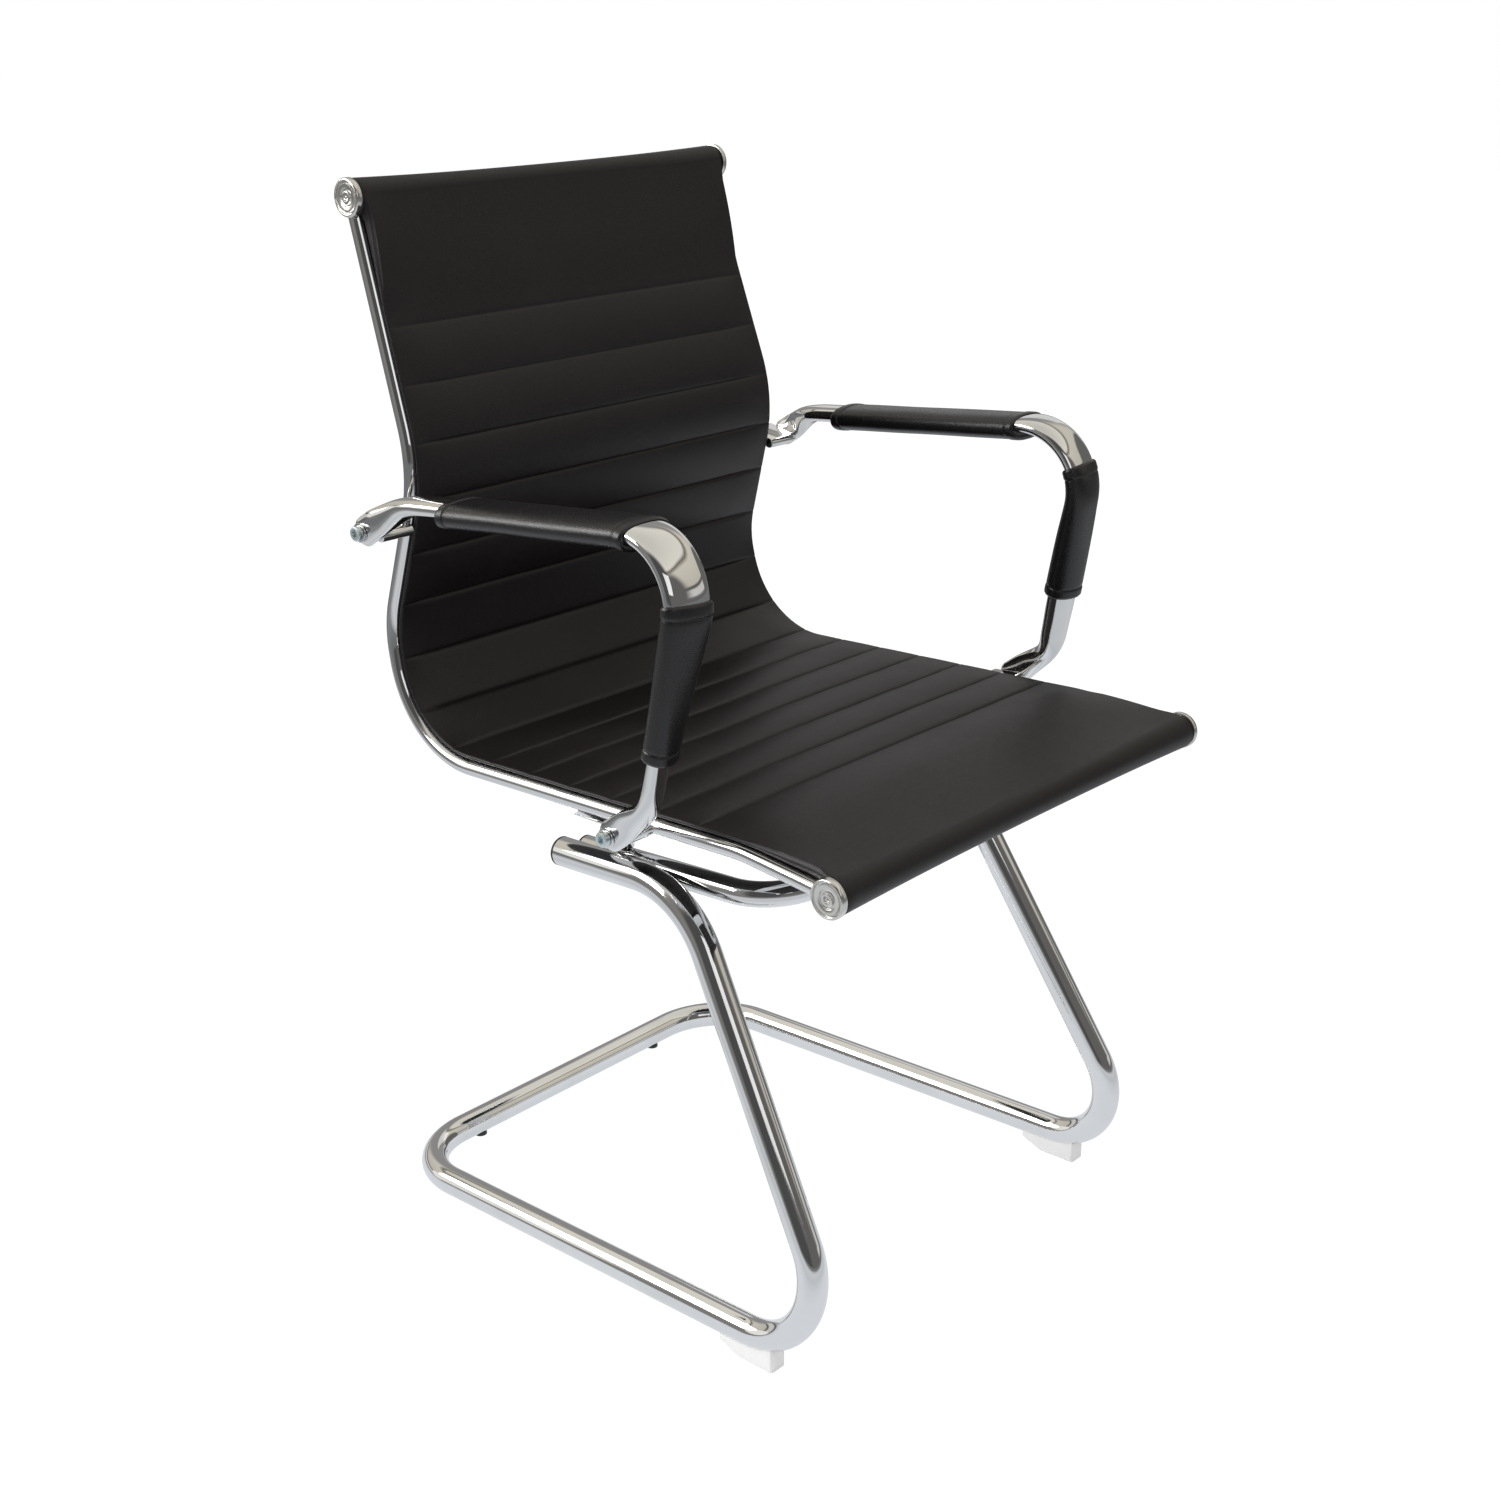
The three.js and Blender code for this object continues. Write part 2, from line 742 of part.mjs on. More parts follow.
// Bar behind the back: it leaves the rails to the rear and crosses straight, flat
// against the slope of the rails.
const upperBoltZ = seatZ + armUpperHeight;
const railAtBolt = railStationAt(upperBoltZ);
const upperBoltY = railAtBolt.point.y + armUpperBack;
const backBarY = railAtBolt.point.y;
const upperRailHalf = railHalfAt(upperBoltZ);
const backSlope = railAtBolt.tangent.clone().negate().setX(0).normalize();
const backRear = vec(0, backSlope.z, -backSlope.y);
const backBarEnd = vec(upperRailHalf, backBarY, upperBoltZ).addScaledVector(backRear, backBarSet);
const backBarKink = backBarEnd.clone().setX(upperRailHalf - backBarRamp).addScaledVector(backRear, backBarBow);
const backBarCorners = [acrossChair(backBarEnd), acrossChair(backBarKink), backBarKink, backBarEnd];
const backBarRun = new BentRun(backBarCorners, [backBarBend, backBarBend], backSlope);
const backBar = alongRun(backBarRun, flatSection(backBarWidth, backBarThickness));

// Sling. Its line runs down the rails from the top tube to the front tube.
const slingLine = bentStations(profileShortBy(0), railRadii, fineStep);
slingLine.forEach((station, i) => {
  const before = slingLine[i - 1];
  station.along = i === 0 ? 0 : before.along + station.point.distanceTo(before.point);
  station.up = vec(0, station.tangent.z, -station.tangent.y).normalize();
  station.face = station.point.clone().addScaledVector(station.up, slingFace);
  station.skin = i === 0 ? 0 : before.skin + station.face.distanceTo(before.face);
});

function stationBy(line, key, value) {
  const last = line.length - 1;
  const next = Math.min(last, Math.max(1, line.findIndex((station) => station[key] >= value)));
  const a = line[next - 1];
  const b = line[next];
  const share = THREE.MathUtils.clamp((value - a[key]) / (b[key] - a[key]), 0, 1);
  return {
    point: a.point.clone().lerp(b.point, share),
    tangent: a.tangent.clone().lerp(b.tangent, share).normalize(),
    along: THREE.MathUtils.lerp(a.along, b.along, share),
    skin: a.skin === undefined ? 0 : THREE.MathUtils.lerp(a.skin, b.skin, share),
  };
}

const slingEnd = slingLine[slingLine.length - 1];
const seams = [];
for (let i = 0; i < seamCount; i += 1) {
  seams.push(firstSeam + i * ribPitch);
}

// Places along the face with the height of the padding there, 0 at a seam and 1 on a crown
const ribShares = [0.2, 0.8];
const panelShares = [0.1, 0.4, 0.75];
const slingPlaces = [];
function addPanel(from, to, shares, crown) {
  for (const share of shares) {
    slingPlaces.push({ skin: THREE.MathUtils.lerp(from, to, share), share, crown });
  }
}
addPanel(0, seams[0], [0, ...panelShares], topPanelCrown);
for (let i = 0; i < seams.length; i += 1) {
  slingPlaces.push({ skin: seams[i], share: 0, crown: 0 });
  if (i + 1 < seams.length) {
    addPanel(seams[i], seams[i + 1], ribShares, ribCrown);
  }
}
addPanel(seams[seams.length - 1], slingEnd.skin, [...panelShares, 1], frontPanelCrown);

const rollRadius = crossTube / 2 + fitGap + slingRollWall;
function slingRing(place) {
  const station = stationBy(slingLine, 'skin', place.skin);
  const up = vec(0, station.tangent.z, -station.tangent.y).normalize();
  const puff = place.crown === 0 ? 0 : Math.sin(Math.PI * THREE.MathUtils.clamp(place.share, 0, 1)) ** crownPower;
  const seam = place.crown === 0 ? seamSink : 0;
  let face = slingFace + place.crown * puff - seam;
  let back = slingBack - (place.crown > 0 ? ribBackCrown * puff : 0);
  let edgeFace = slingFace;
  let edgeBack = slingBack;
  let half = station.point.x + slingOverRail;
  const ends = [
    { tube: crossTubes[0], distance: station.along },
    { tube: crossTubes[1], distance: slingEnd.along - station.along },
  ];
  for (const { tube, distance } of ends) {
    const offset = vec(0, tube.y, tube.z).sub(vec(0, station.point.y, station.point.z)).dot(up);
    const nearFace = 1 - THREE.MathUtils.smoothstep(distance, 0, rollBlendFront);
    const nearBack = 1 - THREE.MathUtils.smoothstep(distance, 0, rollBlendBack);
    face = THREE.MathUtils.lerp(face, offset + rollRadius, nearFace);
    edgeFace = THREE.MathUtils.lerp(edgeFace, offset + rollRadius, nearFace);
    back = THREE.MathUtils.lerp(back, offset - rollRadius, nearBack);
    edgeBack = THREE.MathUtils.lerp(edgeBack, offset - rollRadius, nearBack);
    half = THREE.MathUtils.lerp(half, tube.half, nearBack);
  }
  const at = (x, offset) => vec(x, station.point.y, station.point.z).addScaledVector(up, offset);
  const inner = half - slingHem;
  return [
    at(-half, edgeFace), at(-inner, face), at(inner, face), at(half, edgeFace),
    at(half, edgeBack), at(inner, back), at(-inner, back), at(-half, edgeBack),
  ];
}

const slingSheet = loftBody(slingPlaces.map(slingRing));
let slingSolid = solidOf(slingSheet);
for (const tube of crossTubes) {
  slingSolid = slingSolid.add(solidOf(crossRod(tube, 2 * rollRadius)));
}
const slingCutters = [...crossGrown, railGrown, mirrored(railGrown)];
for (const tool of slingCutters) {
  slingSolid = slingSolid.subtract(solidOf(tool));
}
addPiece('sling', geometryOf(slingSolid), 'leatherette');
addPiece('back_spreader', cutBy(backBar, [railGrown, mirrored(railGrown)]), 'chrome');

// Arms. Their line runs from the upper bolt over the arch and the front corner to the
// lower bolt. Both ends are pressed flat against the frame, and the oval of the post turns a
// little on its way down.
const lowerBoltZ = seatRailZ(armLowerY) + armLowerRise;
const lowerRailHalf = railHalfAt(seatRailZ(armLowerY));
const upperBolt = vec(upperRailHalf + armUpperOut, upperBoltY, upperBoltZ);
const lowerBolt = vec(lowerRailHalf + armLowerOut, armLowerY, lowerBoltZ);
const arch = vec(armHalf, armArchY, upperBoltZ + armArchRise);
const corner = vec(armHalf, armCornerY, upperBoltZ + armCornerRise);
const knee = vec(lowerBolt.x, armKneeY, lowerBoltZ + armKneeRise);
const shoulder = arch.clone().setX(upperBolt.x).sub(upperBolt).setLength(armFlatLength).add(upperBolt);
const pastBolt = (bolt, next) => bolt.clone().add(bolt.clone().sub(next).setLength(armEndPast));
const armCorners = [
  pastBolt(upperBolt, shoulder), shoulder, arch, corner, knee, pastBolt(lowerBolt, knee),
];
const armRadii = [armShoulderRadius, armArchRadius, armCornerRadius, armKneeRadius];
const armLine = bentStations(armCorners, armRadii, fineStep);
armLine.forEach((station, i) => {
  const before = armLine[i - 1];
  station.along = i === 0 ? 0 : before.along + station.point.distanceTo(before.point);
});
const armLength = armLine[armLine.length - 1].along;

// Where the line passes a level of one coordinate, looking on from a given place
function alongWhere(axis, level, from) {
  for (let i = 1; i < armLine.length; i += 1) {
    const a = armLine[i - 1];
    const b = armLine[i];
    if (a.along >= from && (a.point[axis] - level) * (b.point[axis] - level) <= 0) {
      const share = (a.point[axis] - level) / (a.point[axis] - b.point[axis]);
      return THREE.MathUtils.lerp(a.along, b.along, share);
    }
  }
  return armLength;
}

// The corner bend is the third of the arm.
const cornerStations = armLine.filter((station) => station.bend === armCorners.indexOf(corner));
const cornerStart = cornerStations[0].along;
const cornerEnd = cornerStations[cornerStations.length - 1].along;
const padStart = alongWhere('y', padStartY, armEndPast);
const padEnd = alongWhere('y', padEndY, armEndPast);
const kneeStart = armLine.find((station) => station.bend === armCorners.indexOf(knee)).along;

function sleeveSpan(raise) {
  const start = alongWhere('z', lowerBoltZ + sleeveTop + raise, cornerStart);
  return { start, end: start + sleeveLength };
}
const postEnd = sleeveSpan(0).end;

function blend(stops, value) {
  for (let i = 0; i + 1 < stops.length; i += 1) {
    const [a, from] = stops[i];
    const [b, to] = stops[i + 1];
    if (value <= b || i + 2 === stops.length) {
      return THREE.MathUtils.lerp(from, to, THREE.MathUtils.clamp((value - a) / (b - a), 0, 1));
    }
  }
  return stops[0][1];
}

function armSection(along) {
  const rearFlat = armEndPast + armFlatLength;
  const rearFull = rearFlat + armRearFlare;
  const frontBolt = armLength - armEndPast;
  const frontFlat = frontBolt - armFlatLength;
  const width = blend([
    [rearFlat, armEndThickness], [rearFull, armRearWidth], [padStart, armRearWidth], [cornerStart, armCornerWidth],
    [cornerEnd, armPostTopWidth], [cornerEnd + armPostTaper, armPostWidth], [kneeStart, armPostWidth],
    [frontFlat, armEndThickness],
  ], along);
  const thickness = blend([
    [0, armEndWidth * armTipShare], [armEndPast, armEndWidth], [rearFlat, armEndWidth],
    [rearFull, armThickness], [cornerEnd, armThickness],
    [postEnd, armPostThickness], [kneeStart, armPostThickness], [frontFlat, armEndWidth],
    [frontBolt, armEndWidth], [armLength, armEndWidth * armTipShare],
  ], along);
  const turn = blend([
    [cornerStart, 0], [cornerEnd, armCornerTurn],
    [postEnd, armPostTurn], [kneeStart, armPostTurn], [frontFlat, 0],
  ], along);
  const station = stationBy(armLine, 'along', along);
  const sideways = vec(1, 0, 0).addScaledVector(station.tangent, -station.tangent.x).normalize();
  const outward = station.tangent.clone().cross(sideways).normalize();
  const sine = Math.sin(turn * degree);
  const cosine = Math.cos(turn * degree);
  return {
    centre: station.point,
    wide: sideways.clone().multiplyScalar(cosine).addScaledVector(outward, sine),
    thick: outward.clone().multiplyScalar(cosine).addScaledVector(sideways, -sine),
    width,
    thickness,
  };
}

// Oval ring: rounder than a box, fuller than an ellipse
const ovalPower = 0.84;
function ovalRing(section, width, thickness, drop = 0) {
  const ring = [];
  for (let k = 0; k < ovalSides; k += 1) {
    const angle = (k * 2 * Math.PI) / ovalSides;
    const bulge = (value) => Math.sign(value) * Math.abs(value) ** ovalPower;
    const point = section.centre.clone();
    point.addScaledVector(section.wide, (width / 2) * bulge(Math.cos(angle)));
    point.addScaledVector(section.thick, (thickness / 2) * bulge(Math.sin(angle)) - drop);
    ring.push(point);
  }
  return ring;
}

function spread(from, to, count) {
  const values = [];
  for (let i = 0; i <= count; i += 1) {
    values.push(THREE.MathUtils.lerp(from, to, i / count));
  }
  return values;
}

function armParts(raise, slip) {
  const sleeve = sleeveSpan(raise);
  const padFrom = padStart + slip;
  const padTo = padEnd + slip;
  const frontBolt = armLength - armEndPast;
  const frontFlat = frontBolt - armFlatLength;
  const frontFull = frontFlat - armFlareLength;
  const rearFlat = armEndPast + armFlatLength;
  const rearFull = rearFlat + armRearFlare;
  const padPlaces = [padFrom, padFrom + padHem, ...spread(padFrom + 2 * padHem, padTo - 2 * padHem, 2),
    padTo - padHem, padTo];
  const sleevePlaces = [sleeve.start, sleeve.start + sleeveHem,
    ...spread(sleeve.start + 2 * sleeveHem, sleeve.end - 2 * sleeveHem, 4), sleeve.end - sleeveHem, sleeve.end];
  const places = [
    0, armEndPast / 2, armEndPast, rearFlat, ...spread(rearFlat, rearFull, 4).slice(1),
    ...spread(rearFull, padFrom, 2).slice(1, -1),
    ...padPlaces,
    ...spread(padTo, sleeve.start, 7).slice(1, -1),
    ...sleevePlaces,
    ...spread(sleeve.end, frontFull, 2).slice(1), ...spread(frontFull, frontFlat, 4).slice(1),
    frontBolt, frontBolt + armEndPast / 2, armLength,
  ];
  const sections = new Map(places.map((along) => [along, armSection(along)]));
  const tubeRings = places.map((along) => {
    const section = sections.get(along);
    return ovalRing(section, section.width, section.thickness);
  });
  const holes = [upperBolt, lowerBolt].map((bolt) => {
    const reach = vec(armEndWidth, 0, 0);
    return straightRod(bolt.clone().sub(reach), bolt.clone().add(reach), armBolt + 2 * fitGap, boltSides);
  });
  const inside = (along) => {
    const section = sections.get(along);
    return ovalRing(section, section.width + 2 * fitGap, section.thickness + 2 * fitGap);
  };
  const hemAt = (along, from, to, hem, step) => {
    return Math.min(along - from, to - along) < hem * 1.5 ? step : 0;
  };
  const padRings = padPlaces.map((along) => {
    const section = sections.get(along);
    const hem = hemAt(along, padFrom, padTo, padHem, padHemStep);
    const width = Math.max(padWidth, section.width + 2 * sleeveWall);
    return ovalRing(section, width + hem, padThickness + hem, padDrop);
  });
  const sleeveRings = sleevePlaces.map((along) => {
    const section = sections.get(along);
    const hem = hemAt(along, sleeve.start, sleeve.end, sleeveHem, sleeveHemStep);
    const width = section.width + 2 * sleeveWall + hem;
    const down = (along - sleeve.start) / (sleeve.end - sleeve.start);
    const flatWall = THREE.MathUtils.lerp(sleeveWall, sleeveFlatWall, Math.sqrt(down));
    return ovalRing(section, width, section.thickness + 2 * flatWall + hem);
  });
  return {
    tube: cutBy(loftBody(tubeRings), holes),
    pad: loftSleeve(padRings, padPlaces.map(inside)),
    sleeve: loftSleeve(sleeveRings, sleevePlaces.map(inside)),
  };
}

// Stubs: short flat bars from the rails to the arm ends, tapped for the arm bolts
function armStub(bolt, railHalf, tilt) {
  const from = vec(railHalf + stubInset, bolt.y, bolt.z);
  const to = bolt.clone().setX(bolt.x - armEndThickness / 2 - fitGap);
  const wide = vec(0, Math.cos(tilt * degree), Math.sin(tilt * degree));
  const bar = alongRun(new BentRun([from, to], [], wide), flatSection(stubWidth, stubThickness));
  const tapped = straightRod(bolt.clone().setX(to.x - armBoltBite - fitGap),
    to.clone().setX(to.x + cutOverrun), armBolt + 2 * fitGap, boltSides);
  return cutBy(bar, [railGrown, tapped]);
}
const upperStub = armStub(upperBolt, upperRailHalf, upperStubTilt);
const lowerStub = armStub(lowerBolt, lowerRailHalf, 0);

const leftArm = armParts(leftSleeveRaise, 0);
const rightArm = armParts(0, rightPadSlip);
addPiece('arm_tube_left', leftArm.tube, 'chrome');
addPiece('arm_pad_left', leftArm.pad, 'leatherette');
addPiece('arm_sleeve_left', leftArm.sleeve, 'leatherette');
addPiece('arm_tube_right', mirrored(rightArm.tube), 'chrome');
addPiece('arm_pad_right', mirrored(rightArm.pad), 'leatherette');
addPiece('arm_sleeve_right', mirrored(rightArm.sleeve), 'leatherette');
addPiece('upper_stub_left', upperStub, 'chrome');
addPiece('upper_stub_right', mirrored(upperStub), 'chrome');
addPiece('lower_stub_left', lowerStub, 'chrome');
addPiece('lower_stub_right', mirrored(lowerStub), 'chrome');

// Arm bolts and washers on the outer faces of the arm ends
for (const [end, bolt] of [['upper', upperBolt], ['lower', lowerBolt]]) {
  const seat = bolt.x + armEndThickness / 2 + fitGap;
  const washerTop = seat + armWasherThickness;
  const headBase = washerTop + fitGap;
  const headTop = headBase + armBoltHeadHeight;
  const tip = bolt.x - armEndThickness / 2 - fitGap - armBoltBite;
  const at = (x) => vec(x, bolt.y, bolt.z);
  const disc = straightRod(at(seat), at(washerTop), armWasher, boltSides);
  const hole = straightRod(at(tip), at(headTop), armBolt + 2 * fitGap, boltSides);
  const washer = cutBy(disc, [hole]);
  const shank = straightRod(at(tip), at(headTop - armBoltSocketDepth - fitGap), armBolt, boltSides);
  const head = straightRod(at(headBase), at(headTop), armBoltHead, boltSides);
  const socket = hexagonBar(armBoltSocket, at(headTop - armBoltSocketDepth), at(headTop + cutOverrun));
  const bodyBolt = geometryOf(solidOf(head).add(solidOf(shank)).subtract(solidOf(socket)));
  addPiece(`${end}_washer_left`, washer, 'chrome');
  addPiece(`${end}_washer_right`, mirrored(washer), 'chrome');
  addPiece(`${end}_arm_bolt_left`, bodyBolt, 'bolt');
  addPiece(`${end}_arm_bolt_right`, mirrored(bodyBolt), 'bolt');
}

// Front feet: wedges cradled under the front bends, with soles on the ground line
const groundSlope = Math.tan(leanAngle);
const groundAt = (y) => (y - footFront) * groundSlope;
const footProfile = new THREE.Shape([
  new THREE.Vector2(footFront, groundAt(footFront)),
  new THREE.Vector2(footFront + footSole, groundAt(footFront + footSole)),
  new THREE.Vector2(footFront + footLength, footTaperRise),
  new THREE.Vector2(footFront + footLength, footHeight + footWrap),
  new THREE.Vector2(footFront, footHeight + 3 * footWrap),
]);
// The profile is drawn front to back and up, then pushed out across the foot.
const footStand = new THREE.Matrix4().makeBasis(vec(0, 1, 0), vec(0, 0, 1), vec(1, 0, 0));
const footBlank = new THREE.ExtrudeGeometry(footProfile, { depth: footWidth, bevelEnabled: false })
  .translate(0, 0, floorRunHalf - footWidth / 2).applyMatrix4(footStand);
const footBody = cutBy(footBlank, [sledGrown]);
addPiece('front_foot_left', footBody, 'foot');
addPiece('front_foot_right', mirrored(footBody), 'foot');

// Rear glides: thin buttons under the rear run
const glideBody = cutBy(
  new THREE.CylinderGeometry(glideDiameter / 2, glideDiameter / 2, glideHeight + footWrap, capSides)
    .rotateX(Math.PI / 2)
    .translate(0, 0, (glideHeight + footWrap) / 2)
    .rotateX(leanAngle)
    .translate(glideSpan / 2, sledRear, groundAt(sledRear)),
  [sledGrown],
);
addPiece('rear_glide_left', glideBody, 'plug');
addPiece('rear_glide_right', mirrored(glideBody), 'plug');

// Lean back onto the ground, then centre the chair over its own footprint.
chair.rotation.x = -leanAngle;
chair.updateMatrixWorld(true);
const bounds = new THREE.Box3().setFromObject(chair, true);
chair.position.set(0, -(bounds.min.y + bounds.max.y) / 2, -bounds.min.z);

export default group;
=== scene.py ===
import bisect
import math

import bmesh
import bpy
from mathutils import Matrix, Vector, noise


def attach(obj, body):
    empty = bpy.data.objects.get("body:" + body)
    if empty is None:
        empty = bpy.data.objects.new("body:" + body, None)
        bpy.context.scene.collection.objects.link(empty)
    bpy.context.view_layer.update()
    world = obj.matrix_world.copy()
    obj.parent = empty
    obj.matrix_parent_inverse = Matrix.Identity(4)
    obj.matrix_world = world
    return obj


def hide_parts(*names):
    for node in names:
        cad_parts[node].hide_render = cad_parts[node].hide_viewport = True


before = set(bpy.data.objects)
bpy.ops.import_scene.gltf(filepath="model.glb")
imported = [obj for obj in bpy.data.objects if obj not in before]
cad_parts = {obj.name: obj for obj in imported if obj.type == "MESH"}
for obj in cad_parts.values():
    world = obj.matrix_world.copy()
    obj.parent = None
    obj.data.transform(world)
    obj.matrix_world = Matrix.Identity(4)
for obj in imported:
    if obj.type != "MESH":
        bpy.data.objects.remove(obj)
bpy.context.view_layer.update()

# Lengths below are in millimetres in the chair's own level frame: x to the sitter's
# left, y to the rear from where leg and floor run meet, z up from the ground line.
mm = 0.001
stand = {"footHeight": 11.5, "glideHeight": 3, "footFront": 78, "sledRear": 553,
         "y": -273.171147, "z": 1.395567}
leanAngle = math.atan2(stand["footHeight"] - stand["glideHeight"], stand["sledRear"] - stand["footFront"])
chairPlace = Matrix.Translation((0, stand["y"] * mm, stand["z"] * mm)) @ Matrix.Rotation(-leanAngle, 4, "X")
chairPlace = chairPlace @ Matrix.Scale(mm, 4)


class Socket:  # wraps a node output so that maths reads as expressions
    def __init__(self, shader, out):
        self.shader, self.out = shader, out

    def maths(self, operation, other, swapped=False):
        first, second = (other, self) if swapped else (self, other)
        return self.shader.add("ShaderNodeMath", {"operation": operation}, {0: first, 1: second})

    def __add__(self, other):
        return self.maths("ADD", other)

    def __radd__(self, other):
        return self.maths("ADD", other, True)

    def __sub__(self, other):
        return self.maths("SUBTRACT", other)

    def __rsub__(self, other):
        return self.maths("SUBTRACT", other, True)

    def __mul__(self, other):
        return self.maths("MULTIPLY", other)

    def __rmul__(self, other):
        return self.maths("MULTIPLY", other, True)

    def __truediv__(self, other):
        return self.maths("DIVIDE", other)

    def __rtruediv__(self, other):
        return self.maths("DIVIDE", other, True)

    def atLeast(self, other):
        return self.maths("MAXIMUM", other)


class Shader:
    def __init__(self, tree):
        self.tree = tree
        tree.nodes.clear()

    def add(self, kind, settings=None, inputs=None, output=0):
        node = self.tree.nodes.new(kind)
        for key, value in (settings or {}).items():
            if key == "stops":
                ramp = node.color_ramp
                for i, (position, colour) in enumerate(value):
                    stop = ramp.elements[i] if i < 2 else ramp.elements.new(position)
                    stop.position = position
                    stop.color = (*colour, 1) if len(colour) == 3 else colour
            else:
                setattr(node, key, value)
        for key, value in (inputs or {}).items():
            if isinstance(value, Socket):
                self.tree.links.new(value.out, node.inputs[key])
            elif value is not None:
                node.inputs[key].default_value = value
        return Socket(self, node.outputs[output]) if node.outputs else None

    def coords(self, name="Object"):
        return self.add("ShaderNodeTexCoord", output=name)

    def grain(self, scale, detail=2.0, roughness=0.5):
        values = {"Vector": self.coords(), "Scale": scale, "Detail": detail, "Roughness": roughness}
        return self.add("ShaderNodeTexNoise", {}, values, "Fac")

    def cells(self, scale):  # distance from the walls between pebbles
        values = {"Vector": self.coords(), "Scale": scale}
        return self.add("ShaderNodeTexVoronoi", {"feature": "DISTANCE_TO_EDGE"}, values, "Distance")

    def between(self, value, low, high):  # 0 up to low, 1 from high, smooth in between
        values = {"Value": value, "From Min": low, "From Max": high}
        return self.add("ShaderNodeMapRange", {"interpolation_type": "SMOOTHSTEP"}, values)

    def blendColour(self, factor, a, b):
        a, b = (colour if isinstance(colour, Socket) else (*colour, 1) for colour in (a, b))
        return self.add("ShaderNodeMix", {"data_type": "RGBA"}, {"Factor": factor, 6: a, 7: b}, 2)

    def ramp(self, value, stops):
        return self.add("ShaderNodeValToRGB", {"stops": stops}, {"Fac": value}, "Color")

    def bump(self, height, strength, distance, normal=None):
        values = {"Height": height, "Strength": strength, "Distance": distance, "Normal": normal}
        return self.add("ShaderNodeBump", {}, values)

    def surface(self, values):
        return self.add("ShaderNodeBsdfPrincipled", {}, values)

    def rays(self):  # is the ray that asks from the camera, a reflection, a transmission
        return [self.add("ShaderNodeLightPath", output=f"Is {kind} Ray")
                for kind in ("Camera", "Glossy", "Transmission")]

    def output(self, surface, kind="ShaderNodeOutputMaterial"):
        self.add(kind, {}, {"Surface": surface})


def newMaterial(name):
    material = bpy.data.materials.new(name)
    material.use_nodes = True
    return material, Shader(material.node_tree)


fineDepth = 0.0002  # metres, how deep the finest grain goes
chromeLook = {"metallic": 1.0, "colour": (0.80, 0.80, 0.80), "clouded": (0.73, 0.73, 0.725),
              "rough": 0.055, "dull": 0.05, "clouds": (9, 4, 0.6), "cloudSpan": (0.48, 0.75),
              "grain": 900, "grainDepth": 0.02}
capLook = dict(chromeLook, colour=(0.74, 0.73, 0.70), clouded=(0.66, 0.65, 0.62), rough=0.22, dull=0.08)
boltLook = {"metallic": 1.0, "colour": (0.66, 0.78, 0.83), "clouded": (0.74, 0.78, 0.76), "rough": 0.33,
            "dull": 0.12, "clouds": (160, 3), "cloudSpan": (0.35, 0.7), "grain": 1400, "grainDepth": 0.05}
footLook = {"metallic": 0.0, "colour": (0.83, 0.825, 0.82), "clouded": (0.79, 0.785, 0.78), "rough": 0.38,
            "dull": 0.1, "clouds": (60, 3), "grain": 1100, "grainDepth": 0.03}


def cloudedFinish(name, look):  # smudges on chrome, passivation on bolts, mottling on the feet
    material, shader = newMaterial(name)
    cloud = shader.grain(*look["clouds"])
    if "cloudSpan" in look:
        cloud = shader.between(cloud, *look["cloudSpan"])
    shader.output(shader.surface({
        "Base Color": shader.blendColour(cloud, look["colour"], look["clouded"]),
        "Metallic": look["metallic"],
        "Roughness": look["rough"] + cloud * look["dull"],
        "Normal": shader.bump(shader.grain(look["grain"]), look["grainDepth"], fineDepth),
    }))
    return material


leatherLook = {"colour": (0.0075, 0.0052, 0.0056), "worn": (0.0118, 0.0090, 0.0094), "rough": 0.36,
               "shine": 0.42, "pebbles": 900, "pebbleSpan": (0.02, 0.32), "pores": 2160, "poreShare": 0.3,
               "grain": (0.28, 0.0003), "patches": 14, "wave": (0.10, 0.002), "wornSpan": (0.45, 0.75),
               "wornShare": 0.6, "creaseShade": 0.15, "creaseRough": 0.10, "wornRough": 0.05}
padLook = dict(leatherLook, colour=(0.0058, 0.0054, 0.0062), worn=(0.0092, 0.0088, 0.0098), rough=0.22,
               shine=0.56)


def leatherFinish(name, look):
    material, shader = newMaterial(name)
    pebble = shader.between(shader.cells(look["pebbles"]), *look["pebbleSpan"])
    patches = shader.grain(look["patches"], 3, 0.55)
    worn = shader.between(patches, *look["wornSpan"])
    height = pebble * (1 - look["poreShare"]) + shader.grain(look["pores"], 3) * look["poreShare"]
    # Lighter in the random worn patches, which is wear, and on the pebble tops: a painted shade that
    # darkens the creases between pebbles.
    rubbed = worn * look["wornShare"] + pebble * look["creaseShade"]
    shader.output(shader.surface({
        "Base Color": shader.blendColour(rubbed, look["colour"], look["worn"]),
        "Roughness": look["rough"] + (1 - pebble) * look["creaseRough"] + worn * look["wornRough"],
        "Specular IOR Level": look["shine"],
        "Normal": shader.bump(patches, *look["wave"], shader.bump(height, *look["grain"])),
    }))
    return material


plugLook = {"colour": (0.018, 0.018, 0.019), "rubbed": (0.028, 0.028, 0.029), "rough": 0.42, "dull": 0.12,
            "mottle": 40, "grain": 1500, "grainDepth": 0.12}


def plugFinish(name, look):
    material, shader = newMaterial(name)
    speckle = shader.grain(look["grain"])
    shader.output(shader.surface({
        "Base Color": shader.blendColour(shader.grain(look["mottle"]), look["colour"], look["rubbed"]),
        "Roughness": look["rough"] + speckle * look["dull"],
        "Normal": shader.bump(speckle, look["grainDepth"], fineDepth),
    }))
    return material


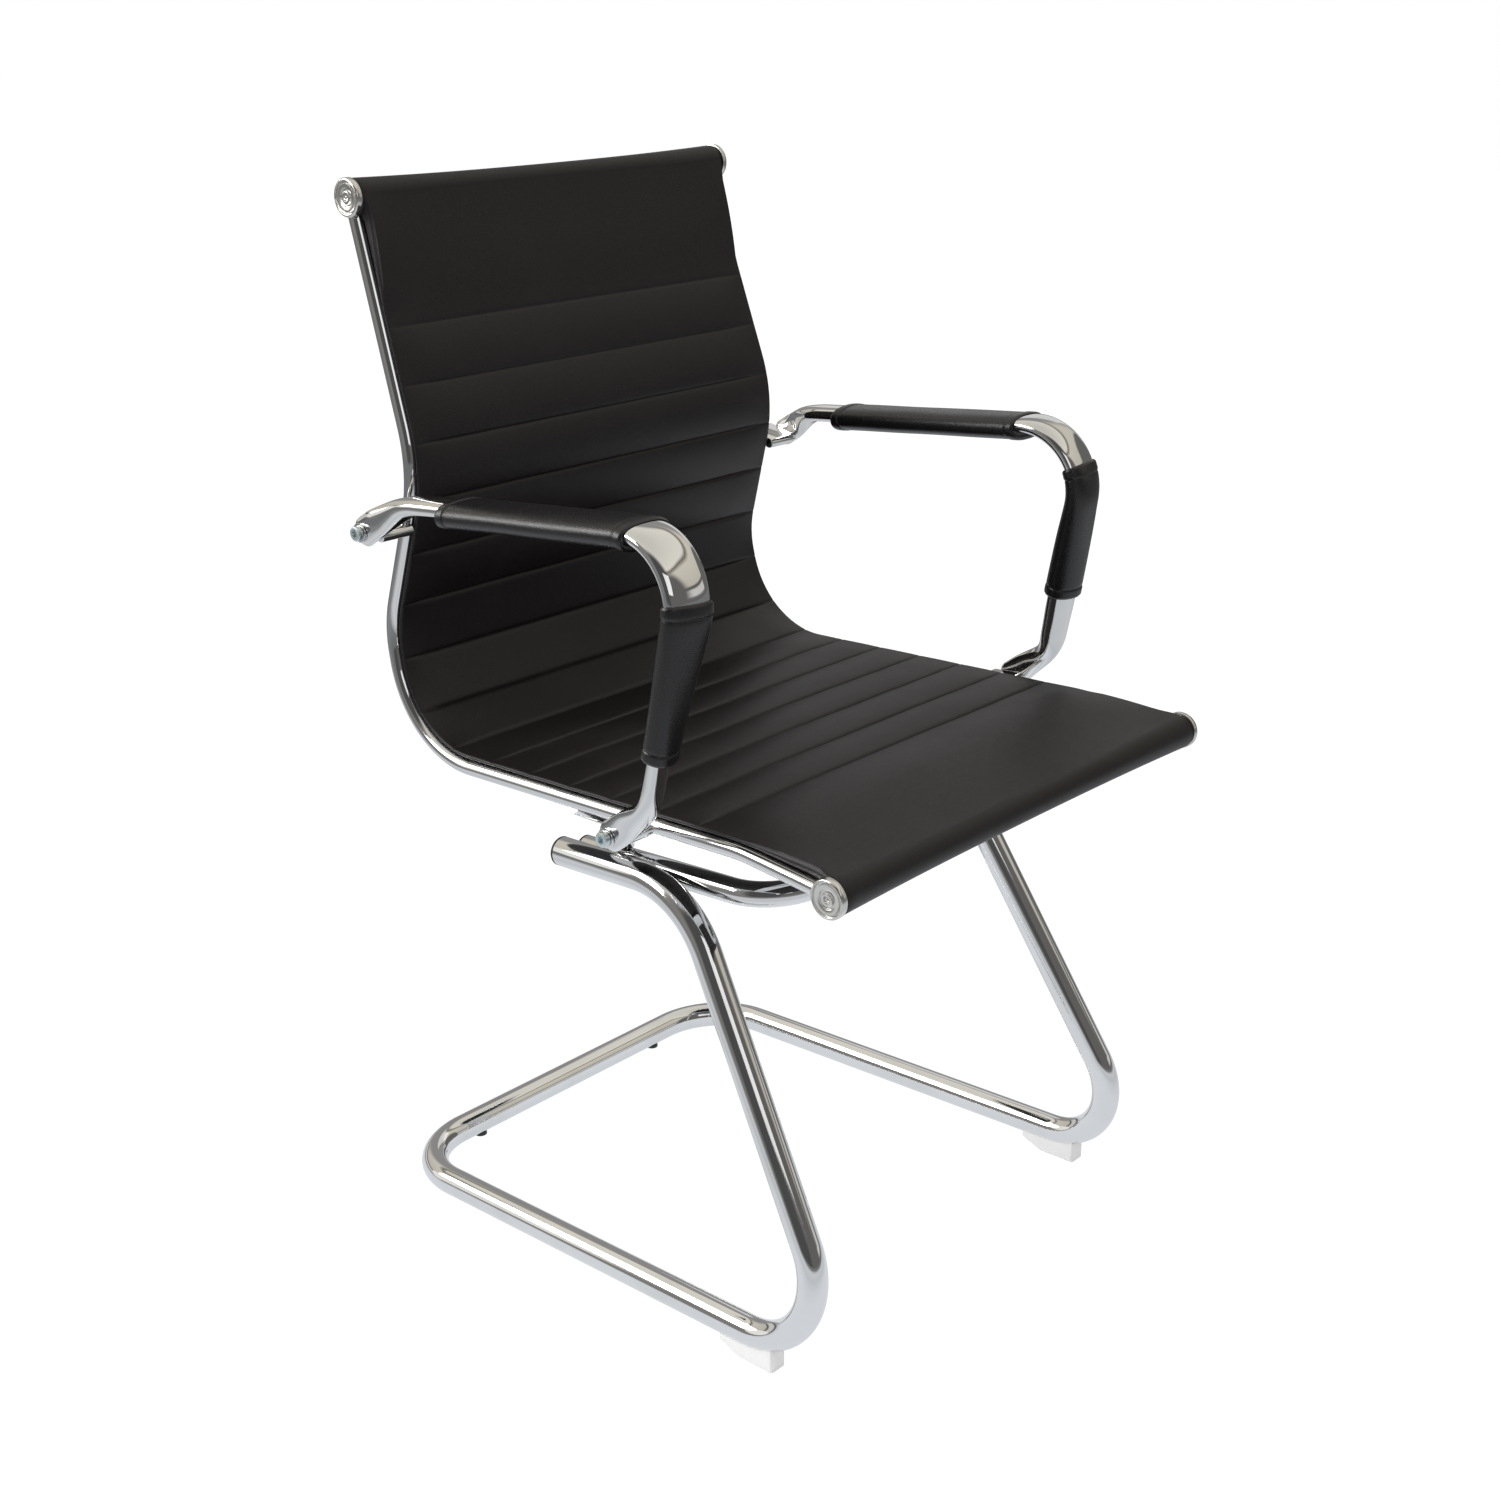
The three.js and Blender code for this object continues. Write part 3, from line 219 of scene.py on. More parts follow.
chrome = cloudedFinish("chromePlate", chromeLook)
capMetal = cloudedFinish("capMetal", capLook)
blueZinc = cloudedFinish("blueZinc", boltLook)
leatherette = leatherFinish("leatherette", leatherLook)
armLeather = leatherFinish("armLeather", padLook)
whiteFoot = cloudedFinish("whiteFootPlastic", footLook)
blackPlug = plugFinish("blackPlugPlastic", plugLook)
print("finishes made")


def placeObject(name, data):
    placed = bpy.data.objects.new(name, data)
    bpy.context.scene.collection.objects.link(placed)
    return placed


def meshFrom(bm, name):
    mesh = bpy.data.meshes.new(name)
    bm.to_mesh(mesh)
    bm.free()
    return mesh


# A finished mesh becomes an object that stands for the CAD nodes it replaces.
def addPiece(name, bm, material, nodes, sharp=38, mirrorX=False, inPlace=False):
    if mirrorX:
        bmesh.ops.scale(bm, vec=(-1, 1, 1), verts=bm.verts)
    bmesh.ops.recalc_face_normals(bm, faces=bm.faces)
    mesh = meshFrom(bm, name)
    if not inPlace:
        mesh.transform(chairPlace)
    mesh.materials.append(material)
    mesh.polygons.foreach_set("use_smooth", [True] * len(mesh.polygons))
    mesh.set_sharp_from_angle(angle=math.radians(sharp))
    piece = placeObject(name, mesh)
    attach(piece, "root")
    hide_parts(*nodes)
    return piece


def boundaryEdges(bm):
    return [edge for edge in bm.edges if edge.is_boundary]


def closeHoles(bm):
    bmesh.ops.holes_fill(bm, edges=boundaryEdges(bm), sides=0)


def edgesOf(geom):
    return [item for item in geom if isinstance(item, bmesh.types.BMEdge)]


def edgesRound(verts):  # each once, in a fixed order
    return list(dict.fromkeys(edge for vert in verts for edge in vert.link_edges))


def softenEdges(bm, width, angle=30, segments=3, pick=None, clamp=True):
    edges = [edge for edge in bm.edges if len(edge.link_faces) == 2
             and edge.calc_face_angle(0) > math.radians(angle) and (pick is None or pick(edge))]
    if edges:
        bmesh.ops.bevel(bm, geom=edges, offset=width, segments=segments, profile=0.5, affect="EDGES",
                        material=-1, clamp_overlap=clamp)


def aim(direction, wide=None):  # turns +Z along a direction, and +X towards wide
    along = Vector(direction).normalized()
    if wide is None:
        return along.to_track_quat("Z", "Y").to_matrix().to_4x4()
    side = Vector(wide)
    side = (side - along * side.dot(along)).normalized()
    third = along.cross(side)
    return Matrix((side, third, along)).transposed().to_4x4()


# The bends of a bar, each with its headings, angle, radius, two ends and the way to its centre.
def bendsOf(corners, radii):
    for before, corner, after, radius in zip(corners, corners[1:], corners[2:], radii):
        incoming, outgoing = (corner - before).normalized(), (after - corner).normalized()
        turn = incoming.angle(outgoing)
        reach = radius * math.tan(turn / 2)
        inward = (outgoing - incoming * incoming.dot(outgoing)).normalized()
        yield incoming, outgoing, turn, radius, corner - incoming * reach, corner + outgoing * reach, inward


# A bar bent like on a bending machine: straight runs are extruded, bends are spun.
def bentBar(corners, radii, ring, wide=None, bendStep=4, endRound=0.0):
    corners = [Vector(corner) for corner in corners]
    bm = bmesh.new()
    here = corners[0]
    edges = ring(bm, Matrix.Translation(here) @ aim((corners[1] - here).normalized(), wide))
    for incoming, outgoing, turn, radius, start, end, inward in bendsOf(corners, radii):
        edges = pushRing(bm, edges, start - here)
        verts = list(dict.fromkeys(vert for edge in edges for vert in edge.verts))
        made = bmesh.ops.spin(bm, geom=edges + verts, cent=start + inward * radius, angle=turn,
                              axis=incoming.cross(outgoing).normalized(),
                              steps=max(2, math.ceil(math.degrees(turn) / bendStep)))
        edges, here = edgesOf(made["geom_last"]), end
    pushRing(bm, edges, corners[-1] - here)
    closeHoles(bm)
    if endRound:
        caps = {edge for face in bm.faces if len(face.verts) > 6 for edge in face.edges}
        softenEdges(bm, endRound, 40, 3, lambda edge: edge in caps)
    return bm


def extruded(bm, edges):
    geom = bmesh.ops.extrude_edge_only(bm, edges=edges)["geom"]
    return edgesOf(geom), [item for item in geom if isinstance(item, bmesh.types.BMVert)]


def pushRing(bm, edges, offset):
    edges, verts = extruded(bm, edges)
    bmesh.ops.translate(bm, verts=verts, vec=offset)
    return edges


def roundRing(diameter, sides=48):
    def make(bm, matrix):
        made = bmesh.ops.create_circle(bm, segments=sides, radius=diameter / 2, matrix=matrix)
        return edgesRound(made["verts"])
    return make


def flatRing(width, thickness, sides=40):  # a circle stretched to a flat bar with round edges
    def make(bm, matrix):
        made = bmesh.ops.create_circle(bm, segments=sides, radius=thickness / 2)
        for vert in made["verts"]:
            vert.co.x += math.copysign((width - thickness) / 2, vert.co.x)
        bmesh.ops.transform(bm, matrix=matrix, verts=made["verts"])
        return edgesRound(made["verts"])
    return make


def setAt(bm, at, direction):  # from the origin and +Z to its place
    bmesh.ops.transform(bm, matrix=Matrix.Translation(Vector(at)) @ aim(direction), verts=bm.verts)
    return bm


# A turned piece: the profile gives (radius, place along the axis), spun about the axis.
def turned(profile, at, direction, steps=48, round=0.0, segments=2):
    bm = bmesh.new()
    verts = [bm.verts.new((radius, 0, along)) for radius, along in profile]
    for a, b in zip(verts, verts[1:]):
        bm.edges.new((a, b))
    bmesh.ops.spin(bm, geom=list(bm.verts) + list(bm.edges), cent=(0, 0, 0), axis=(0, 0, 1),
                   angle=2 * math.pi, steps=steps, use_merge=True)
    bmesh.ops.remove_doubles(bm, verts=bm.verts, dist=1e-4)
    if round:
        softenEdges(bm, round, 35, segments)
    return setAt(bm, at, direction)


def wallProfile(inner, outer, low, high):
    return [(inner, low), (outer, low), (outer, high), (inner, high), (inner, low)]


# A ring carried from station to station, each given as a matrix.
def carryRing(bm, edges, stations):
    for before, station in zip(stations, stations[1:]):
        edges, verts = extruded(bm, edges)
        bmesh.ops.transform(bm, matrix=station @ before.inverted(), verts=verts)


def acrossToo(half):  # a line from one end to the chair's middle, and its mirror image on from there
    return half + [(-x, y, z) for x, y, z in reversed(half)]


class BentLine:  # straight runs with round bends, walked by length
    def __init__(self, corners, radii):
        self.runs, self.bends, self.length = [], [], 0.0
        here = corners[0]
        for incoming, _, turn, radius, start, end, inward in bendsOf(corners, radii):
            self.keep("run", here, incoming, (start - here).length)
            self.bends.append((self.length, self.length + radius * turn))
            self.keep("bend", start, incoming, radius * turn, inward, radius)
            here = end
        self.keep("run", here, (corners[-1] - here).normalized(), (corners[-1] - here).length)

    def keep(self, kind, start, heading, length, inward=None, radius=0.0):
        self.runs.append((kind, self.length, length, start, heading, inward, radius))
        self.length += length

    def at(self, along):
        along = min(max(along, 0.0), self.length)
        for kind, begin, length, start, heading, inward, radius in self.runs:
            if along <= begin + length or begin + length >= self.length:
                step = along - begin
                if kind == "run":
                    return start + heading * step, heading.copy()
                angle = step / radius
                point = start + inward * radius * (1 - math.cos(angle)) + heading * radius * math.sin(angle)
                return point, (heading * math.cos(angle) + inward * math.sin(angle)).normalized()


def lerp(a, b, share):
    return a + (b - a) * share


def smoothStep(value, low, high):
    share = min(max((value - low) / (high - low), 0.0), 1.0)
    return share * share * (3 - 2 * share)


def byStops(stops, value):
    for (a, low), (b, high) in zip(stops, stops[1:]):
        if value <= b:
            return lerp(low, high, min(max((value - a) / (b - a), 0.0), 1.0)) if b > a else high
    return stops[-1][1]


def byStopsSoft(stops, value, reach=7.0):  # the same with its corners rounded off, over 7 places
    return sum(byStops(stops, value + reach * offset / 3) for offset in range(-3, 4)) / 7


sides = (("right", -1), ("left", 1))
fitGap = 0.3
tubeRound = 0.7  # how far a cut tube end is rounded off

base = {"tube": 25, "wall": 1.5, "floorHalf": 210, "topHalf": 175, "rise": 351.8, "legRun": 187,
        "rear": 553, "topEnd": 330, "knee": 90, "toe": 65, "heel": 70}
floorZ = stand["footHeight"] + base["tube"] / 2
topZ = floorZ + base["rise"]
halfBase = [(base["topHalf"], base["topEnd"], topZ), (base["topHalf"], base["legRun"], topZ),
            (base["floorHalf"], 0, floorZ), (base["floorHalf"], base["rear"], floorZ)]
baseRadii = [base[bend] for bend in ("knee", "toe", "heel", "heel", "toe", "knee")]
bm = bentBar(acrossToo(halfBase), baseRadii, roundRing(base["tube"], 56), bendStep=3, endRound=tubeRound)
addPiece("baseTube", bm, chrome, ["sled_base_tube"])

support = {"tube": 21, "rearFall": 3, "wall": 1.5, "end": 326, "front": 112, "radius": 45}
supportHalf = base["topHalf"] - base["tube"] / 2 - fitGap - support["tube"] / 2
mouthZ = topZ - support["rearFall"]
halfSupport = [(supportHalf, support["end"], mouthZ), (supportHalf, support["front"], topZ)]
bm = bentBar(acrossToo(halfSupport), [support["radius"]] * 2, roundRing(support["tube"], 56), bendStep=3,
             endRound=tubeRound)
addPiece("supportTube", bm, chrome, ["seat_support_tube"])

plug = {"head": 2, "depth": 14, "dome": 1, "halfway": 0.8, "taper": 1,
        "rim": ((0, 0.8), (0.4, 0.25), (1.2, 0))}  # inset and drop round the edge


def tubePlug(tube, wall, at):
    outer, taper, depth, top = tube / 2, plug["taper"], plug["depth"], fitGap + plug["head"]
    spigot = outer - wall - fitGap
    profile = [(0, -depth), (spigot - taper, -depth), (spigot, taper - depth), (spigot, fitGap)]
    profile += [(outer, fitGap)] + [(outer - inset, top - drop) for inset, drop in plug["rim"]]
    profile += [(outer / 2, top + plug["dome"] * plug["halfway"]), (0, top + plug["dome"])]
    return turned(profile, at, (0, 1, 0))


for side, sign in sides:
    bm = tubePlug(base["tube"], base["wall"], (sign * base["topHalf"], base["topEnd"], topZ))
    addPiece(f"basePlug_{side}", bm, blackPlug, [f"sled_end_plug_{side}"])
    bm = tubePlug(support["tube"], support["wall"], (sign * supportHalf, support["end"], mouthZ))
    addPiece(f"supportPlug_{side}", bm, blackPlug, [f"support_end_plug_{side}"])
print("base and support made")

spreader = {"width": 30, "thick": 10, "rearY": 279, "bend": 16, "seatDrop": 6, "frontThick": 6,
            "frontDrop": 4.2, "frontMountHalf": 80, "bushHeight": 18.5, "bush": 16, "endGap": 1}
rail = {"tube": 13, "seatHalf": 219.5, "topHalf": 199.4, "rise": 43.9, "endShort": 3, "rear": 461,
        "seatRadius": 91.1, "nose": 79.3, "noseFall": 4.4, "noseRadius": 202.6, "noseEnd": 0,
        "noseEndFall": 16, "hipY": 478.8, "hip": 105.8, "hipRadius": 91.6, "lumbarY": 433.3, "lumbar": 237,
        "lumbarRadius": 125.4, "topY": 489.2, "top": 438.5}
cross = {"tube": 22, "wall": 1.5, "topY": 485.4, "top": 453.3, "frontY": -11.8, "frontFall": 15.3}
supportSlope = support["rearFall"] / (support["end"] - support["front"])
rearMountZ = topZ - supportSlope * (spreader["rearY"] - support["front"])
spreaderZ = rearMountZ + support["tube"] / 2 + 2 * fitGap + spreader["bushHeight"] + spreader["thick"] / 2
flatHalf = supportHalf + spreader["bush"] / 2 + fitGap
seatZ = spreaderZ + rail["rise"]
topTubeZ = seatZ + cross["top"]
frontTubeZ = seatZ - cross["frontFall"]


def railHalfAt(z):
    return lerp(rail["seatHalf"], rail["topHalf"], (z - seatZ) / (topTubeZ - seatZ))


def railPoint(y, z):
    return Vector((railHalfAt(z), y, z))


def seatRailZ(y):
    return seatZ - rail["noseFall"] * (rail["rear"] - y) / (rail["rear"] - rail["nose"])


def backRailY(z):  # straight run between the hip and lumbar bends
    return lerp(rail["hipY"], rail["lumbarY"], (z - seatZ - rail["hip"]) / (rail["lumbar"] - rail["hip"]))


crossTubes = [("top", cross["topY"], topTubeZ), ("front", cross["frontY"], frontTubeZ)]
profileCorners = [railPoint(rail[y], seatZ + rise) for y, rise in (
    ("topY", rail["top"]), ("lumbarY", rail["lumbar"]), ("hipY", rail["hip"]), ("rear", 0),
    ("nose", -rail["noseFall"]), ("noseEnd", -rail["noseEndFall"]))]
railRadii = [rail["lumbarRadius"], rail["hipRadius"], rail["seatRadius"], rail["noseRadius"]]


def profileShortBy(short):
    corners = [corner.copy() for corner in profileCorners]
    for end, inner, tube in ((0, 1, crossTubes[0]), (-1, -2, crossTubes[1])):
        outward = (corners[end] - corners[inner]).normalized()
        level = Vector((corners[end].x, tube[1], tube[2])) - corners[end]
        corners[end] = corners[end] + outward * (level.dot(outward) - short)
    return corners


for side, sign in sides:
    bm = bentBar(profileShortBy(rail["endShort"]), railRadii, roundRing(rail["tube"], 40), bendStep=2.5)
    addPiece(f"sideRail_{side}", bm, chrome, [f"side_rail_{side}"], mirrorX=sign < 0)

cap = {"across": 31, "thick": 5.6, "spigot": 10,
       "rim": ((0, 1.6), (0.5, 0.5), (1.3, 0)),  # inset and drop round the edge
       "rings": ((13.4, 0.0), (12.9, 2.0), (11.7, 2.2), (11.3, 0.3), (7.7, 0.8), (7.2, 2.4), (5.5, 2.5),
                 (5.1, 0.3), (2.9, 0.2), (2.6, 1.8), (1.7, 1.8), (1.3, 0.5), (0, 0.4))}  # radius and drop
for name, y, z in crossTubes:
    half = railHalfAt(z) + rail["tube"] / 2 + fitGap
    bore, outside = cross["tube"] / 2 - cross["wall"], cross["tube"] / 2
    bm = turned(wallProfile(bore, outside, -half, half), (0, y, z), (1, 0, 0), 56)
    addPiece(f"{name}CrossTube", bm, chrome, [f"{name}_cross_tube"])
    outer, thick = cap["across"] / 2, cap["thick"]
    for side, sign in sides:
        profile = [(0, -cap["spigot"]), (bore - fitGap, -cap["spigot"]), (bore - fitGap, fitGap)]
        profile += [(outer, fitGap)] + [(outer - inset, thick - drop) for inset, drop in cap["rim"]]
        profile += [(radius, thick - drop) for radius, drop in cap["rings"]]
        bm = turned(profile, (sign * half, y, z), (sign, 0, 0), 64, round=0.15)
        addPiece(f"{name}Cap_{side}", bm, capMetal, [f"{name}_cap_{side}"])
print("rails, cross tubes and caps made")

rearRailZ = seatRailZ(spreader["rearY"])
rearHalf = railHalfAt(rearRailZ) - rail["tube"] / 2 - spreader["endGap"]
barLow, barHigh = spreaderZ, rearRailZ - spreader["seatDrop"]
barEndZ = lerp(barLow, barHigh, (rearHalf - flatHalf) / (railHalfAt(rearRailZ) - flatHalf))
rearBar = acrossToo([(-rearHalf, spreader["rearY"], barEndZ), (-flatHalf, spreader["rearY"], barLow)])
rearRing = flatRing(spreader["width"], spreader["thick"])
bm = bentBar(rearBar, [spreader["bend"]] * 2, rearRing, (0, 1, 0), 2)
addPiece("rearSeatBar", bm, chrome, ["rear_spreader"])
frontBarZ = seatRailZ(support["front"]) - spreader["frontDrop"]
frontHalf = railHalfAt(frontBarZ) - rail["tube"] / 2 - fitGap
frontBar = acrossToo([(-frontHalf, support["front"], frontBarZ)])
bm = bentBar(frontBar, [], flatRing(spreader["width"], spreader["frontThick"]), (0, 1, 0))
addPiece("frontSeatBar", bm, chrome, ["front_spreader"])

mountBolt = {"shank": 6, "head": 11, "headHeight": 5, "socket": 5, "socketDepth": 3}
armBolt = {"shank": 7.4, "bite": 16, "head": 12.5, "headHeight": 4.5, "socket": 6, "socketDepth": 2.8,
           "washer": 16, "washerThick": 1.5}
boltShape = {"topInset": 1.4, "shoulder": (0.45, 0.35), "rimDrop": 1.3, "point": 1}


def socketBolt(size, seat, tip, direction):  # seat: under the head; tip: distance to the shank's end
    bm = bmesh.new()
    head, shank, top = size["head"] / 2, size["shank"] / 2, size["headHeight"]
    inset, drop = boltShape["shoulder"]
    point = boltShape["point"]
    overCorners = size["socket"] / math.cos(math.pi / 6)
    bmesh.ops.create_circle(bm, cap_ends=True, segments=6, radius=overCorners / 2,
                            matrix=Matrix.Translation((0, 0, top - size["socketDepth"])))
    socket = pushRing(bm, boundaryEdges(bm), Vector((0, 0, size["socketDepth"])))
    radius, height = head - boltShape["topInset"], top
    outer = roundRing(radius * 2)(bm, Matrix.Translation((0, 0, top)))
    bmesh.ops.triangle_fill(bm, use_beauty=True, use_dissolve=False, edges=socket + outer)
    for wide, z in ((head - inset, top - drop), (head, top - boltShape["rimDrop"]), (head, 0),
                    (shank, 0), (shank, point - tip), (shank - point, -tip)):
        outer, verts = extruded(bm, outer)
        bmesh.ops.scale(bm, vec=(wide / radius, wide / radius, 1), verts=verts)
        bmesh.ops.translate(bm, verts=verts, vec=(0, 0, z - height))
        radius, height = wide, z
    closeHoles(bm)
    return setAt(bm, seat, direction)


mounts = (("rear", supportHalf, spreader["rearY"], rearMountZ, spreaderZ, spreader["thick"]),
          ("front", spreader["frontMountHalf"], support["front"], topZ, frontBarZ, spreader["frontThick"]))
for side, sign in sides:
    for end, x, y, z, barZ, bar in mounts:
        low, high = z + support["tube"] / 2 + fitGap, barZ - bar / 2 - fitGap
        profile = wallProfile(mountBolt["shank"] / 2 + fitGap, spreader["bush"] / 2, 0, high - low)
        bm = turned(profile, (sign * x, y, low), (0, 0, 1), 40, round=0.6)
        addPiece(f"bush_{end}_{side}", bm, chrome, [f"mounting_bush_{end}_{side}"])
        seat = (sign * x, y, z - support["tube"] / 2 - fitGap)
        bm = socketBolt(mountBolt, seat, barZ + bar / 2 - seat[2], (0, 0, -1))
        addPiece(f"seatBolt_{end}_{side}", bm, blueZinc, [f"mounting_bolt_{end}_{side}"])
print("seat bars, bushes and bolts made")

arm = {"upperHeight": 196.7, "upperOut": 42, "upperBack": 2.5, "lowerY": 182, "lowerRise": -1.5,
       "lowerOut": 34, "archY": 404, "archRise": 24.9, "out": 20.5, "cornerY": 81.5, "cornerRise": 37.5,
       "kneeY": 138.5, "kneeRise": 30, "archRadius": 60, "cornerRadius": 51, "kneeRadius": 35, "past": 9,
       "endWidth": 25, "endThick": 9, "flat": 17, "flare": 42, "shoulderRadius": 30, "rearWidth": 30,
       "thick": 15, "cornerWidth": 44, "postTopWidth": 38, "postWidth": 26.5, "postTaper": 125,
       "postThick": 13.5, "cornerTurn": -8, "postTurn": 18, "oval": 0.84, "step": 4}
pad = {"start": 358, "end": 152, "slip": 14, "width": 50, "overArm": 4, "thick": 22, "drop": 2.5, "hem": 9,
       "hemStep": 0.6, "seed": 3, "folds": (0.35, (0.05, 0.018, 0.05))}  # how deep, how close along x, y, z
sleeve = {"wall": 2, "flatWall": 5.5, "hem": 9, "hemStep": 0.45, "top": 189.5, "length": 122, "raise": 14.5,
          "seed": 9, "folds": (0.25, (0.06, 0.06, 0.022))}
upperZ = seatZ + arm["upperHeight"]
upperY = backRailY(upperZ) + arm["upperBack"]
upperRailHalf = railHalfAt(upperZ)
lowerZ = seatRailZ(arm["lowerY"]) + arm["lowerRise"]
lowerRailHalf = railHalfAt(seatRailZ(arm["lowerY"]))
upperBolt = Vector((upperRailHalf + arm["upperOut"], upperY, upperZ))
lowerBolt = Vector((lowerRailHalf + arm["lowerOut"], arm["lowerY"], lowerZ))
armHalf = rail["seatHalf"] + arm["out"]
arch = Vector((armHalf, arm["archY"], upperZ + arm["archRise"]))
corner = Vector((armHalf, arm["cornerY"], upperZ + arm["cornerRise"]))
knee = Vector((lowerBolt.x, arm["kneeY"], lowerZ + arm["kneeRise"]))
towards = Vector((upperBolt.x, arch.y, arch.z)) - upperBolt
shoulder = upperBolt + towards.normalized() * arm["flat"]
armStart = upperBolt + (upperBolt - shoulder).normalized() * arm["past"]
armEnd = lowerBolt + (lowerBolt - knee).normalized() * arm["past"]
armLine = BentLine([armStart, shoulder, arch, corner, knee, armEnd],
                   [arm["shoulderRadius"], arm["archRadius"], arm["cornerRadius"], arm["kneeRadius"]])
armLength = armLine.length


def alongWhere(axis, level, start):
    step = 0.5
    along = start
    before = armLine.at(along)[0][axis] - level
    while along < armLength:
        after = armLine.at(along + step)[0][axis] - level
        if before * after <= 0:
            return along + step * before / (before - after)
        along, before = along + step, after
    return armLength


cornerStart, cornerEnd = armLine.bends[2]
kneeStart = armLine.bends[3][0]
padStart = alongWhere(1, pad["start"], arm["past"])
padEnd = alongWhere(1, pad["end"], arm["past"])


def sleeveSpan(lift):
    start = alongWhere(2, lowerZ + sleeve["top"] + lift, cornerStart)
    return start, start + sleeve["length"]


postEnd = sleeveSpan(0)[1]
rearFlat = arm["past"] + arm["flat"]
rearFull = rearFlat + arm["flare"]
frontBolt = armLength - arm["past"]
frontFlat = frontBolt - arm["flat"]
# Stops along the arm's line: across the chair, through the flat, and the turn in degrees.
armWidths = [(0, arm["endThick"]), (rearFlat, arm["endThick"]), (rearFull, arm["rearWidth"]),
             (padStart, arm["rearWidth"]), (cornerStart, arm["cornerWidth"]),
             (cornerEnd, arm["postTopWidth"]), (cornerEnd + arm["postTaper"], arm["postWidth"]),
             (kneeStart, arm["postWidth"]), (frontFlat, arm["endThick"]), (armLength, arm["endThick"])]
armThicks = [(0, arm["endWidth"]), (rearFlat, arm["endWidth"]), (rearFull, arm["thick"]),
             (cornerEnd, arm["thick"]), (postEnd, arm["postThick"]), (kneeStart, arm["postThick"]),
             (frontFlat, arm["endWidth"]), (armLength, arm["endWidth"])]
armTurns = [(0, 0), (cornerStart, 0), (cornerEnd, arm["cornerTurn"]), (postEnd, arm["postTurn"]),
            (kneeStart, arm["postTurn"]), (frontFlat, 0), (armLength, 0)]


def armSection(along):
    width, thick, turn = (byStopsSoft(stops, along) for stops in (armWidths, armThicks, armTurns))
    tip = min(along, armLength - along) / arm["past"]
    if tip < 1:  # the pressed ends are round
        thick *= math.sqrt(max(1 - (1 - tip) ** 2, 0.02))
    point, tangent = armLine.at(along)
    sideways = (Vector((1, 0, 0)) - tangent * tangent.x).normalized()
    outward = tangent.cross(sideways).normalized()
    turn = math.radians(turn)
    wide = sideways * math.cos(turn) + outward * math.sin(turn)
    flat = outward * math.cos(turn) - sideways * math.sin(turn)
    return point, tangent, wide, flat, width, thick


def sectionMatrix(along, addWidth=0.0, addThick=0.0, drop=0.0, width=None, thick=None):
    point, tangent, wide, flat, ownWidth, ownThick = armSection(along)
    width = (width or ownWidth) + addWidth
    thick = (thick or ownThick) + addThick
    matrix = Matrix((wide * width / 2, flat * thick / 2, tangent)).transposed().to_4x4()
    matrix.translation = point - flat * drop
    return matrix


def ovalRing(bm, matrix, segments=48):
    made = bmesh.ops.create_circle(bm, segments=segments, radius=1)
    for vert in made["verts"]:
        vert.co.x = math.copysign(abs(vert.co.x) ** arm["oval"], vert.co.x)
        vert.co.y = math.copysign(abs(vert.co.y) ** arm["oval"], vert.co.y)
    bmesh.ops.transform(bm, matrix=matrix, verts=made["verts"])
    return edgesRound(made["verts"])


def spread(start, end, step):
    count = max(1, math.ceil((end - start) / step))
    return [lerp(start, end, i / count) for i in range(count + 1)]


def armTube():
    tip = [arm["past"] * (1 - math.cos(math.radians(a))) for a in (4, 15, 30, 45, 60, 75, 90)]
    places = tip + spread(arm["past"], frontBolt, arm["step"])[1:]
    places += [armLength - value for value in reversed(tip[:-1])]
    stations = [sectionMatrix(place) for place in places]
    bm = bmesh.new()
    carryRing(bm, ovalRing(bm, stations[0]), stations)
    closeHoles(bm)
    return bm


hemShape = {"ramp": 0.8, "seamDip": 0.5, "seamWidth": 0.9, "curl": 1.0, "curlReach": 1.8, "clear": 8,
            "step": 5, "fromEnd": (0, 0.3, 0.8, 1.5, 2.4, 4, 6),
            "fromSeam": (-1.6, -0.9, -0.4, 0, 0.4, 0.9, 1.8, 4)}


# A wrapped cover: its hems turn in at both ends, and the inside clears the tube.
def wrappedCover(start, end, grown, hem, step):
    def hemRise(along):
        edge = min(along - start, end - along)
        rise = step * (1 - smoothStep(edge, hem - hemShape["ramp"], hem + hemShape["ramp"]))
        dip = hemShape["seamDip"] * math.exp(-((edge - hem) / hemShape["seamWidth"]) ** 2)
        curl = hemShape["curl"] * (1 - smoothStep(edge, 0, hemShape["curlReach"]))
        return rise - dip - curl

    fine = list(hemShape["fromEnd"]) + [hem + place for place in hemShape["fromSeam"]]
    middle = spread(start + hem + hemShape["clear"], end - hem - hemShape["clear"], hemShape["step"])
    places = [start + value for value in fine] + middle + [end - value for value in reversed(fine)]
    outside = [grown(place, hemRise(place)) for place in places]
    inside = [sectionMatrix(place, 2 * fitGap, 2 * fitGap) for place in places[::3] + [places[-1]]]
    bm = bmesh.new()
    carryRing(bm, ovalRing(bm, inside[0]), [inside[0]] + outside + inside[::-1])
    bmesh.ops.remove_doubles(bm, verts=bm.verts, dist=1e-3)
    return bm


def padGrown(along, rise):
    full = max(pad["width"], armSection(along)[4] + pad["overArm"])
    return sectionMatrix(along, 2 * rise, 2 * rise, pad["drop"], full, pad["thick"])


def sleeveGrown(along, rise, start, end):
    flatWall = lerp(sleeve["wall"], sleeve["flatWall"], math.sqrt(max(along - start, 0) / (end - start)))
    return sectionMatrix(along, 2 * (sleeve["wall"] + rise), 2 * (flatWall + rise))


